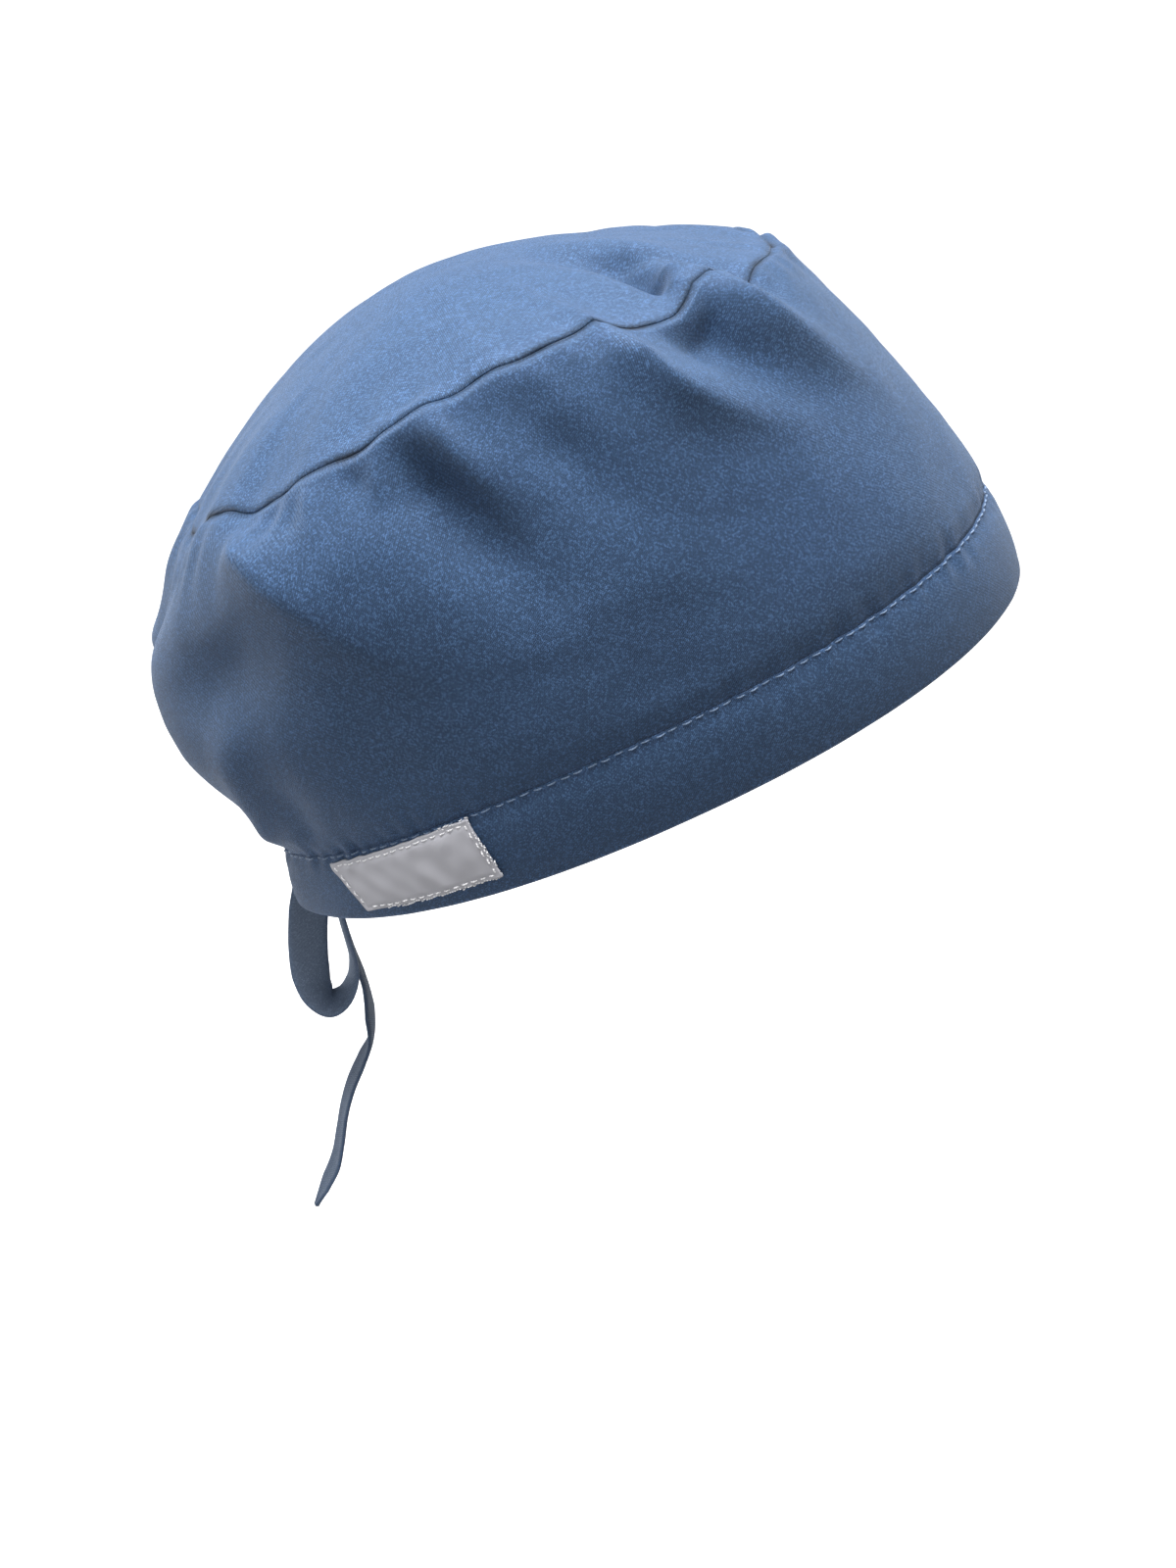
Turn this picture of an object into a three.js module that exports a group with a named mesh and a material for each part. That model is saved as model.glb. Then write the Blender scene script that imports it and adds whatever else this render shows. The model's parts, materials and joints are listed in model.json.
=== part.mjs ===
// A tie-back scrub cap in its worn form: a crown panel, a side panel gathered onto it, a doubled
// hem band, a woven label, and a tie knotted in a half bow at the back.
// Millimetres and degrees. +X is the wearer's front, +Y the wearer's left, +Z up. The origin is
// the middle of the rim, where the head goes in.
import * as THREE from "three";

// Driving sizes
const WORN_TILT = 24; // the rim rises this much from nape to forehead
const CLOTH = 1.2; // wall of the crown and side panels
const HEM = 2.4; // wall of the doubled hem band
const SEAM_GAP = 0.5; // clearance between two panels at their seam
const WALL_HEIGHT = 112; // rim to crown seam, along the cloth at the side
const HEM_SHARE = 0.22; // where the hem's topstitch runs, as a share of the wall
const CROWN_RISE = 18.3; // the crown's dome above the seam
const CROWN_EDGE = 2; // how square the dome's shoulder is
const CROWN_LEAN = 3; // how much more the dome fills out towards the back
const FALL_EDGE = 1.58; // how soon the crown falls off to the lower parts of its seam
const KINK_RING = 0.26; // share of the way to the crown's middle over which a seam kink dies out
const KINK_CREST = 1.6; // 2 is a round kink, less is a creased one
const SEAM_PINCH = 2.2; // how far the gathers pull the side panel in at the seam
const PINCH_SHARE = 0.015; // the share of the wall over which they pull
const STITCH_DENT = 1.0; // the groove that the topstitch pulls
const DENT_SHARE = 0.03;
const CLEFT_SPREAD = 9; // half width of the cleft down the middle of the back, in degrees
const BACK_SEAM = 0.3; // half of the open seam at the middle of the back, in degrees
const BAND_OPENING = 4; // half of the band's opening for the tie, in degrees
const LABEL = { wide: 42.5, high: 18, thick: 0.6, clear: 0.5, around: -127, share: 0.128 };
const LABEL_SLANT = 20; // how far the label's short sides lean back
const LABEL_RISE = 0.037; // how fast it climbs along the band
const LABEL_FLARE = 0.14; // how much longer its top edge is than its bottom edge
const TIE = { wide: 11, thick: 1.4 };

// Facets
const COLUMNS = 96;
const WALL_ROWS = 14;
const BAND_ROWS = 3;
const CROWN_RINGS = 5;

const NAVY = { color: 0x2c4a78, roughness: 0.75, metalness: 0 };
const SILVER = { color: 0xb9bac2, roughness: 0.45, metalness: 0 };

// Sections of the wall from the rim to the crown seam. share: how far up the wall. highFront,
// highSide, highBack: height above the rim plane there. front, back: distance from the middle.
// half: half width. cleft: how far the middle of the back is drawn in.
const SECTIONS = [
  { share: 0, highFront: 0, highSide: 0, highBack: 1, front: 105.5, back: 106, half: 83, cleft: 16 },
  { share: 0.22, highFront: 23.5, highSide: 24, highBack: 15.5, front: 104, back: 102, half: 86, cleft: 15 },
  { share: 0.36, highFront: 40, highSide: 40, highBack: 26.5, front: 101, back: 105, half: 87.5, cleft: 13 },
  { share: 0.55, highFront: 61, highSide: 62, highBack: 49, front: 94, back: 113, half: 87.2, cleft: 10 },
  { share: 0.78, highFront: 88, highSide: 90.5, highBack: 74, front: 84, back: 108, half: 84.5, cleft: 6 },
  { share: 1, highFront: 100.5, highSide: 109.2, highBack: 98, front: 76, back: 85, half: 76, cleft: 2 },
];
const SQUARENESS = 2.15; // 2 is an ellipse, more is squarer

// Folds that the gathers send down the side panel from the crown seam. at: where round the seam.
// lean: how far round the fold drifts by its foot. reach: share of the wall it runs down.
// spread: half width in degrees. depth: out from the wall, or in if negative. bow: below 1 it drifts
// at once, above 1 towards its foot. crest: 2 is round, less is creased. start: how far along it is at
// its fullest.
const SEAM_FOLDS = [
  { at: -146, lean: 40, reach: 0.56, spread: 9, depth: 9, bow: 0.55, crest: 1.4, start: 0.24 },
  { at: -121, lean: 10, reach: 0.3, spread: 2.5, depth: 1.5, bow: 1, crest: 1.5, start: 0.25 },
  { at: -114, lean: 11, reach: 0.28, spread: 2.5, depth: -1.8, bow: 1, crest: 2, start: 0.25 },
  { at: -106, lean: 15, reach: 0.5, spread: 4.6, depth: -9, bow: 0.85, crest: 2, start: 0.33 },
  { at: -99, lean: 8, reach: 0.5, spread: 3.5, depth: 3, bow: 1, crest: 1.4, start: 0.4 },
  { at: -89.5, lean: 9, reach: 0.5, spread: 6, depth: -4.5, bow: 1.2, crest: 2, start: 0.45 },
  { at: -71, lean: 22, reach: 0.42, spread: 5, depth: 5, bow: 2, crest: 1.5, start: 0.3 },
  { at: -57.5, lean: 19, reach: 0.46, spread: 6, depth: -6, bow: 1.6, crest: 2, start: 0.26 },
  { at: -46, lean: 21, reach: 0.5, spread: 5.5, depth: 4, bow: 1.5, crest: 1.6, start: 0.3 },
  { at: -12, lean: 3, reach: 0.35, spread: 6, depth: -1.5, bow: 1, crest: 2, start: 0.25 },
  { at: 26, lean: -8, reach: 0.4, spread: 6, depth: -2.5, bow: 1, crest: 2, start: 0.25 },
  { at: 48, lean: -10, reach: 0.45, spread: 5, depth: -5.5, bow: 1, crest: 2, start: 0.33 },
  { at: 62, lean: -9, reach: 0.42, spread: 5, depth: 3.5, bow: 1, crest: 1.5, start: 0.25 },
  { at: 84, lean: -8, reach: 0.46, spread: 6, depth: -4, bow: 1, crest: 2, start: 0.4 },
  { at: 108, lean: -12, reach: 0.45, spread: 5, depth: -7, bow: 1, crest: 2, start: 0.36 },
  { at: 128, lean: -14, reach: 0.5, spread: 6, depth: 3.5, bow: 1, crest: 1.5, start: 0.25 },
  { at: 151, lean: -13, reach: 0.55, spread: 8, depth: -4, bow: 1, crest: 2, start: 0.25 },
];

// Folds that rise from the hem where the tie draws the back in. Columns as above, with reach and
// lean counted up from the topstitch.
const HEM_FOLDS = [
  { at: -172, lean: 3, reach: 0.26, spread: 4, depth: 2, bow: 1, crest: 2, start: 0.25 },
  { at: -163, lean: 28, reach: 0.5, spread: 5, depth: 2.5, bow: 1, crest: 2, start: 0.25 },
  { at: -148, lean: 12, reach: 0.4, spread: 5, depth: -2, bow: 1, crest: 2, start: 0.25 },
  { at: 139, lean: -2, reach: 0.5, spread: 5, depth: 2.5, bow: 1, crest: 2, start: 0.25 },
  { at: 152, lean: -4, reach: 0.35, spread: 5, depth: -2.5, bow: 1, crest: 2, start: 0.25 },
  { at: 166, lean: -4, reach: 0.3, spread: 4, depth: 2.5, bow: 1, crest: 2, start: 0.25 },
];

// Rounded places that stand out from the wall, or in: where, half width in degrees, half height as
// a share of the wall, and depth.
const BULGES = [
  { at: -166, share: 0.87, spread: 10, tall: 0.08, depth: -2 },
  { at: -140, share: 0.69, spread: 14, tall: 0.11, depth: -6 },
  { at: 170, share: 0.89, spread: 9, tall: 0.05, depth: 1 },
  { at: 169, share: 0.72, spread: 10, tall: 0.055, depth: 3.2 },
];

// Kinks where the gathers push the crown seam up or down.
const SEAM_KINKS = [
  { at: -146, lift: 3.8, spread: 9 },
  { at: -131, lift: -1, spread: 6 },
  { at: -98, lift: 1.2, spread: 12 },
  { at: -84, lift: 3, spread: 14 },
  { at: -71, lift: 1, spread: 3 },
  { at: -65.5, lift: -5, spread: 4 },
  { at: -44.5, lift: 4.2, spread: 4.5 },
  { at: -37, lift: -4.5, spread: 3.5 },
  { at: 40, lift: 1.5, spread: 7 },
  { at: 64, lift: -3.5, spread: 6 },
  { at: 90, lift: 3, spread: 13 },
  { at: 129, lift: -2.5, spread: 7 },
];

// Dents that run from the seam into the crown. reach: share of the way to the crown's middle.
const CROWN_DENTS = [
  { at: -56, lean: 16, reach: 0.6, spread: 8, depth: -5.5, bow: 1, crest: 2, start: 0.35 },
  { at: -101, lean: 0, reach: 0.4, spread: 5, depth: -2, bow: 1, crest: 2, start: 0.25 },
  { at: 60, lean: -14, reach: 0.55, spread: 7, depth: -3.5, bow: 1, crest: 2, start: 0.25 },
  { at: 112, lean: 0, reach: 0.4, spread: 6, depth: -2, bow: 1, crest: 2, start: 0.25 },
];

// Routes of the tie, from the knot on. x, y, z: a point that hangs below the knot. turn: how far
// the tape's width is turned from lying across (+Y) towards lying fore and aft. wide: its share
// of the full width.
const LOOP_ROUTE = [
  { x: -89.6, y: -3.5, z: -33.8, turn: 70, wide: 0.5 },
  { x: -90, y: -4.8, z: -41, turn: 72, wide: 0.8 },
  { x: -90.8, y: -6, z: -50, turn: 72, wide: 1 },
  { x: -91.4, y: -6.5, z: -60, turn: 72, wide: 1 },
  { x: -91, y: -6.5, z: -68.6, turn: 66, wide: 1 },
  { x: -89.2, y: -6, z: -75, turn: 48, wide: 0.95 },
  { x: -86, y: -5.5, z: -78.4, turn: 28, wide: 0.9 },
  { x: -82.3, y: -5, z: -76.8, turn: 20, wide: 0.85 },
  { x: -79.8, y: -5, z: -72.2, turn: 14, wide: 0.85 },
  { x: -79.3, y: -5, z: -66.2, turn: 12, wide: 0.85 },
  { x: -80.5, y: -5, z: -60, turn: 10, wide: 0.8 },
  { x: -82.3, y: -4.6, z: -51.5, turn: 10, wide: 0.75 },
  { x: -83.9, y: -4, z: -42, turn: 10, wide: 0.65 },
  { x: -85.2, y: -3.2, z: -33.8, turn: 10, wide: 0.5 },
];
const TAIL_ROUTE = [
  { x: -86.3, y: 3.2, z: -33.8, turn: 12, wide: 0.5 },
  { x: -84.5, y: 4, z: -45, turn: 2, wide: 0.7 },
  { x: -82.8, y: 5, z: -57, turn: -2, wide: 0.85 },
  { x: -80.2, y: 6, z: -68, turn: -2, wide: 0.9 },
  { x: -77.3, y: 7, z: -78, turn: 0, wide: 0.9 },
  { x: -75.9, y: 7, z: -88, turn: 11, wide: 1 },
  { x: -75.9, y: 7, z: -96, turn: 5, wide: 1 },
  { x: -78.6, y: 7, z: -102.5, turn: -4, wide: 1 },
  { x: -81.9, y: 6.5, z: -110, turn: -6, wide: 1 },
  { x: -84.1, y: 6, z: -117.5, turn: -7, wide: 1 },
  { x: -85.6, y: 5.5, z: -126, turn: -9, wide: 1 },
  { x: -87.2, y: 5, z: -133.5, turn: -9, wide: 1 },
  { x: -90.4, y: 4.5, z: -140.5, turn: -6, wide: 0.9 },
  { x: -93.4, y: 4, z: -147, turn: -6, wide: 0.14 },
];

// The knot across the band's opening, from end to end: how tall and thick it is at each place.
const KNOT = [
  { along: -6.4, tall: 10, thick: 1.5 },
  { along: -4.6, tall: 9, thick: 2 },
  { along: -3.2, tall: 8.5, thick: 5 },
  { along: -1.6, tall: 11.5, thick: 8.5 },
  { along: 0, tall: 12, thick: 9.5 },
  { along: 1.6, tall: 11.5, thick: 8.5 },
  { along: 3.2, tall: 8.5, thick: 5 },
  { along: 4.6, tall: 9, thick: 2 },
  { along: 6.4, tall: 10, thick: 1.5 },
];
const KNOT_PLACE = { back: -93, high: 12 };
const KNOT_SIDES = 12;

const rad = THREE.MathUtils.degToRad;
const smooth = (value) => THREE.MathUtils.smoothstep(value, 0, 1);
const hump = (offset, spread) => Math.exp(-((offset / spread) ** 2));
const peak = (offset, spread, crest) => Math.exp(-(Math.abs(offset / spread) ** crest));
const signedPower = (value, power) => Math.sign(value) * Math.abs(value) ** power;

// A column of the sections table at a share of the wall, on a smooth curve through its rows.
function sectionValue(column, share) {
  const last = SECTIONS.length - 1;
  const slope = (k) => {
    const a = SECTIONS[Math.max(k - 1, 0)];
    const b = SECTIONS[Math.min(k + 1, last)];
    return (b[column] - a[column]) / (b.share - a.share);
  };
  let k = 0;
  while (k < last - 1 && share > SECTIONS[k + 1].share) k += 1;
  const from = SECTIONS[k];
  const to = SECTIONS[k + 1];
  const step = to.share - from.share;
  const u = THREE.MathUtils.clamp((share - from.share) / step, 0, 1);
  const start = (2 * u ** 3 - 3 * u ** 2 + 1) * from[column] + (u ** 3 - 2 * u ** 2 + u) * step * slope(k);
  return start + (3 * u ** 2 - 2 * u ** 3) * to[column] + (u ** 3 - u ** 2) * step * slope(k + 1);
}

// How far the kinks lift the crown seam at an angle.
function seamLift(around) {
  const lift = (kink) => kink.lift * peak(around - kink.at, kink.spread, KINK_CREST);
  return SEAM_KINKS.reduce((sum, kink) => sum + lift(kink), 0);
}

// The wall before it is folded, in the rim's own frame.
function smoothWall(around, share) {
  const value = (column) => sectionValue(column, share);
  const c = Math.cos(rad(around));
  const s = Math.sin(rad(around));
  const power = 2 / SQUARENESS;
  const forward = Math.max(c, 0) ** 2;
  const backward = Math.max(-c, 0) ** 2;
  const fromBack = 180 - Math.abs(around);
  const x = (c > 0 ? value("front") : value("back")) * signedPower(c, power);
  const high =
    value("highSide") +
    (value("highFront") - value("highSide")) * forward +
    (value("highBack") - value("highSide")) * backward;
  return new THREE.Vector3(
    x + value("cleft") * hump(fromBack, CLEFT_SPREAD),
    value("half") * signedPower(s, power),
    high + seamLift(around) * smooth((share - 0.7) / 0.3),
  );
}

// How far one fold stands out at an angle, when run is 0 where it starts and 1 at its foot.
function foldHeight(fold, around, run) {
  if (run < 0 || run > 1) return 0;
  const strength = smooth(run / fold.start) * (1 - smooth((run - fold.start) / (1 - fold.start)));
  const away = Math.abs(around - fold.at - fold.lean * run ** fold.bow) / (fold.spread * (0.6 + 0.8 * run));
  return fold.depth * strength * Math.exp(-(away ** fold.crest));
}

// How far the cloth stands out from the smooth wall.
function wallRelief(around, share) {
  let out = -SEAM_PINCH * hump(1 - share, PINCH_SHARE) - STITCH_DENT * hump(share - HEM_SHARE, DENT_SHARE);
  for (const fold of SEAM_FOLDS) out += foldHeight(fold, around, (1 - share) / fold.reach);
  for (const fold of HEM_FOLDS) out += foldHeight(fold, around, (share - HEM_SHARE) / fold.reach);
  for (const { at, share: level, spread, tall, depth } of BULGES) {
    out += depth * hump(around - at, spread) * hump(share - level, tall);
  }
  return out;
}

// The outward normal of a surface point(u, v) whose u runs round to the left and v upwards.
function normalOf(point, u, v, du, dv) {
  const along = point(u + du, v).sub(point(u - du, v));
  const up = point(u, v + dv).sub(point(u, v - dv));
  return along.cross(up).normalize();
}

// The outward normal of the smooth wall.
function wallNormal(around, share) {
  return normalOf(smoothWall, around, THREE.MathUtils.clamp(share, 0.01, 0.99), 0.5, 0.01);
}

// The outer face of the wall with its folds.
function wallFace(around, share) {
  return smoothWall(around, share).addScaledVector(wallNormal(around, share), wallRelief(around, share));
}

// The outer face of the crown. ring runs from 1 at the seam to 0 at the middle.
function crownFace(around, ring) {
  const edge = wallFace(around, 1);
  const lift = seamLift(around);
  const seam = SECTIONS.at(-1);
  const middleX = (seam.front - seam.back) / 2;
  const leant = -CROWN_LEAN * Math.cos(rad(around)) * ring * (1 - ring ** 2);
  const dome = CROWN_RISE * (1 - ring ** CROWN_EDGE) + leant;
  const dents = CROWN_DENTS.reduce((sum, dent) => {
    const widened = { ...dent, spread: dent.spread / Math.max(ring, 0.2) };
    return sum + foldHeight(widened, around, (1 - ring) / dent.reach);
  }, 0);
  const fall = (edge.z - lift - seam.highSide) * ring ** FALL_EDGE + lift * hump(1 - ring, KINK_RING);
  return new THREE.Vector3(
    middleX + (edge.x - middleX) * ring,
    edge.y * ring,
    seam.highSide + fall + dome + dents,
  );
}

// The direction that halves the corner between crown and side panel, so that both are mitred on it.
function seamNormal(around) {
  const crown = normalOf((a, inward) => crownFace(a, 1 - inward), around, 0.08, 0.5, 0.02);
  return crown.add(wallNormal(around, 0.97)).normalize();
}

// A closed mesh from points and triangles.
function meshOf(name, points, triangles, look) {
  const geometry = new THREE.BufferGeometry().setFromPoints(points);
  geometry.setIndex(triangles);
  geometry.computeVertexNormals();
  const mesh = new THREE.Mesh(geometry, new THREE.MeshStandardMaterial(look));
  mesh.name = name;
  return mesh;
}

// A tube whose rings are lists of the same number of points, closed by a fan at each end.
// A ring runs round the tube clockwise as seen looking along it.
function tubeMesh(name, rings, look) {
  const sides = rings[0].length;
  const triangles = [];
  for (let k = 0; k + 1 < rings.length; k += 1) {
    for (let i = 0; i < sides; i += 1) {
      const [a, b] = [k * sides + i, k * sides + ((i + 1) % sides)];
      triangles.push(a, b, b + sides, a, b + sides, a + sides);
    }
  }
  const last = (rings.length - 1) * sides;
  for (let i = 1; i + 1 < sides; i += 1) {
    triangles.push(0, i + 1, i, last, last + i, last + i + 1);
  }
  return meshOf(name, rings.flat(), triangles, look);
}

// Even steps from one value to another.
function steps(from, to, count) {
  return Array.from({ length: count + 1 }, (_, k) => from + ((to - from) * k) / count);
}

// The side panel: one strip from the middle of the back round to it again, gathered at its top.
function sidePanel() {
  const bottom = HEM_SHARE + SEAM_GAP / WALL_HEIGHT;
  const shares = steps(0, 1, WALL_ROWS).map((k) => bottom + (1 - bottom) * (1 - (1 - k) ** 1.3));
  const rings = steps(BACK_SEAM - 180, 180 - BACK_SEAM, COLUMNS).map((around) => {
    const outside = shares.map((share) => wallFace(around, share));
    const inside = shares.map((share, k) => {
      const normal = share === 1 ? seamNormal(around) : normalOf(wallFace, around, share, 0.5, 0.01);
      return outside[k].clone().addScaledVector(normal, -CLOTH);
    });
    return [...outside.reverse(), ...inside];
  });
  return tubeMesh("side_panel", rings, NAVY);
}

// The hem band: cloth folded double, round at the rim, open at the middle of the back.
function hemBand() {
  const shares = steps(0.02, HEM_SHARE, BAND_ROWS);
  const rings = steps(BAND_OPENING - 180, 180 - BAND_OPENING, COLUMNS).map((around) => {
    const wall = (share, depth) =>
      wallFace(around, share).addScaledVector(wallNormal(around, share), -depth);
    const outside = shares.map((share) => wall(share, 0));
    const inside = shares.map((share) => wall(share, HEM));
    return [...outside.reverse(), wall(0, HEM * 0.3), wall(0, HEM * 0.7), ...inside];
  });
  return tubeMesh("hem_band", rings, NAVY);
}

// The crown panel: a dome of cloth, open below.
function crownPanel() {
  const arounds = steps(-180, 180, COLUMNS).slice(0, -1);
  const ringShares = steps(1, 0, CROWN_RINGS).slice(0, -1);
  const lift = new THREE.Vector3(0, 0, SEAM_GAP);
  const face = (around, ring) => crownFace(around, ring).add(lift);
  const layer = (depth) => {
    const points = ringShares.flatMap((ring) =>
      arounds.map((around) => {
        const own = normalOf((a, inward) => crownFace(a, 1 - inward), around, 1 - ring, 0.5, 0.01);
        const normal = ring === 1 ? seamNormal(around) : own;
        return face(around, ring).addScaledVector(normal, -depth);
      }),
    );
    return [...points, face(0, 0).add(new THREE.Vector3(0, 0, -depth))];
  };
  const points = [...layer(0), ...layer(CLOTH)];
  const inner = points.length / 2;
  const triangles = [];
  const addBoth = (a, b, c) => triangles.push(a, b, c, inner + a, inner + c, inner + b);
  for (let i = 0; i < COLUMNS; i += 1) {
    const next = (i + 1) % COLUMNS;
    for (let k = 0; k + 1 < CROWN_RINGS; k += 1) {
      const [low, high] = [k * COLUMNS, (k + 1) * COLUMNS];
      addBoth(low + i, low + next, high + next);
      addBoth(low + i, high + next, high + i);
    }
    addBoth((CROWN_RINGS - 1) * COLUMNS + i, (CROWN_RINGS - 1) * COLUMNS + next, inner - 1);
    triangles.push(i, inner + i, next, next, inner + i, inner + next);
  }
  return meshOf("crown_panel", points, triangles, NAVY);
}

// The angle that lies a length along the band from the label's middle.
function aroundAt(length) {
  const step = 0.25;
  let around = LABEL.around;
  let gone = 0;
  while (gone < Math.abs(length)) {
    const next = around + Math.sign(length) * step;
    gone += wallFace(around, LABEL.share).distanceTo(wallFace(next, LABEL.share));
    around = next;
  }
  return around;
}

// The label: a woven patch that follows the band's curve just clear of it.
function label() {
  const lengths = steps(-LABEL.wide / 2, LABEL.wide / 2, 10);
  const heights = steps(LABEL.high / 2, -LABEL.high / 2, 2);
  const rings = lengths.map((length) => {
    const at = (height, out) => {
      const flared = length * (1 + (LABEL_FLARE * height) / LABEL.high);
      const around = aroundAt(flared - height * Math.tan(rad(LABEL_SLANT)));
      const share = LABEL.share + (height + LABEL_RISE * length) / WALL_HEIGHT;
      return wallFace(around, share).addScaledVector(wallNormal(around, share), out);
    };
    const outside = heights.map((height) => at(height, LABEL.clear + LABEL.thick));
    const inside = heights.map((height) => at(height, LABEL.clear));
    return [...outside, ...inside.reverse()];
  });
  return tubeMesh("label", rings, SILVER);
}

// A flat tape along a route, with its corners taken off.
function tape(name, route, count) {
  const curve = new THREE.CatmullRomCurve3(route.map(({ x, y, z }) => new THREE.Vector3(x, y, z)));
  const column = (key, place) => {
    const k = Math.min(Math.floor(place), route.length - 2);
    return THREE.MathUtils.lerp(route[k][key], route[k + 1][key], place - k);
  };
  const corners = [[0.42, 0.5], [0.5, 0.2], [0.5, -0.2], [0.42, -0.5]];
  const section = [...corners, ...corners.map(([w, t]) => [-w, -t])];
  const rings = steps(0, 1, count).map((u) => {
    const place = u * (route.length - 1);
    const along = curve.getTangent(u);
    const fore = along.clone().cross(new THREE.Vector3(0, 1, 0)).normalize();
    const across = fore.clone().cross(along);
    const turn = rad(column("turn", place));
    const wide = across.clone().multiplyScalar(Math.cos(turn)).addScaledVector(fore, Math.sin(turn));
    const thick = along.clone().cross(wide);
    const width = TIE.wide * column("wide", place);
    return section.map(([w, t]) =>
      curve.getPoint(u).addScaledVector(wide, w * width).addScaledVector(thick, -t * TIE.thick),
    );
  });
  return tubeMesh(name, rings, NAVY);
}

// The knot of the half bow, with the two short ends that run into the band.
function tieKnot() {
  const rings = KNOT.map(({ along, tall, thick }) =>
    steps(0, 360, KNOT_SIDES)
      .slice(0, -1)
      .map((angle) => {
        const back = KNOT_PLACE.back + (thick / 2) * Math.sin(rad(angle));
        const high = KNOT_PLACE.high + (tall / 2) * Math.cos(rad(angle));
        return new THREE.Vector3(back, along, high);
      }),
  );
  return tubeMesh("tie_knot", rings, NAVY);
}

const sewn = new THREE.Group();
sewn.add(crownPanel(), sidePanel(), hemBand(), label(), tieKnot());
sewn.rotation.y = -rad(WORN_TILT);

const cap = new THREE.Group();
cap.add(sewn, tape("tie_loop", LOOP_ROUTE, 30), tape("tie_tail", TAIL_ROUTE, 26));

export default cap;
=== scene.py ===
"""Looks of a tie-back scrub cap: gathered cloth panels, stitched hem, woven label and half bow.

Metres and degrees in the cap's own frame: +X is the wearer's front, +Y the wearer's left, +Z up,
and the origin is the middle of the rim. An angle round the cap is 0 at the front, 90 at the
wearer's left and 180 at the nape. A share of the wall is 0 at the rim and 1 at the crown seam.
"""
import json
import logging
import math
from dataclasses import dataclass
from enum import Enum
from typing import Any, Callable, Union

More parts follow.
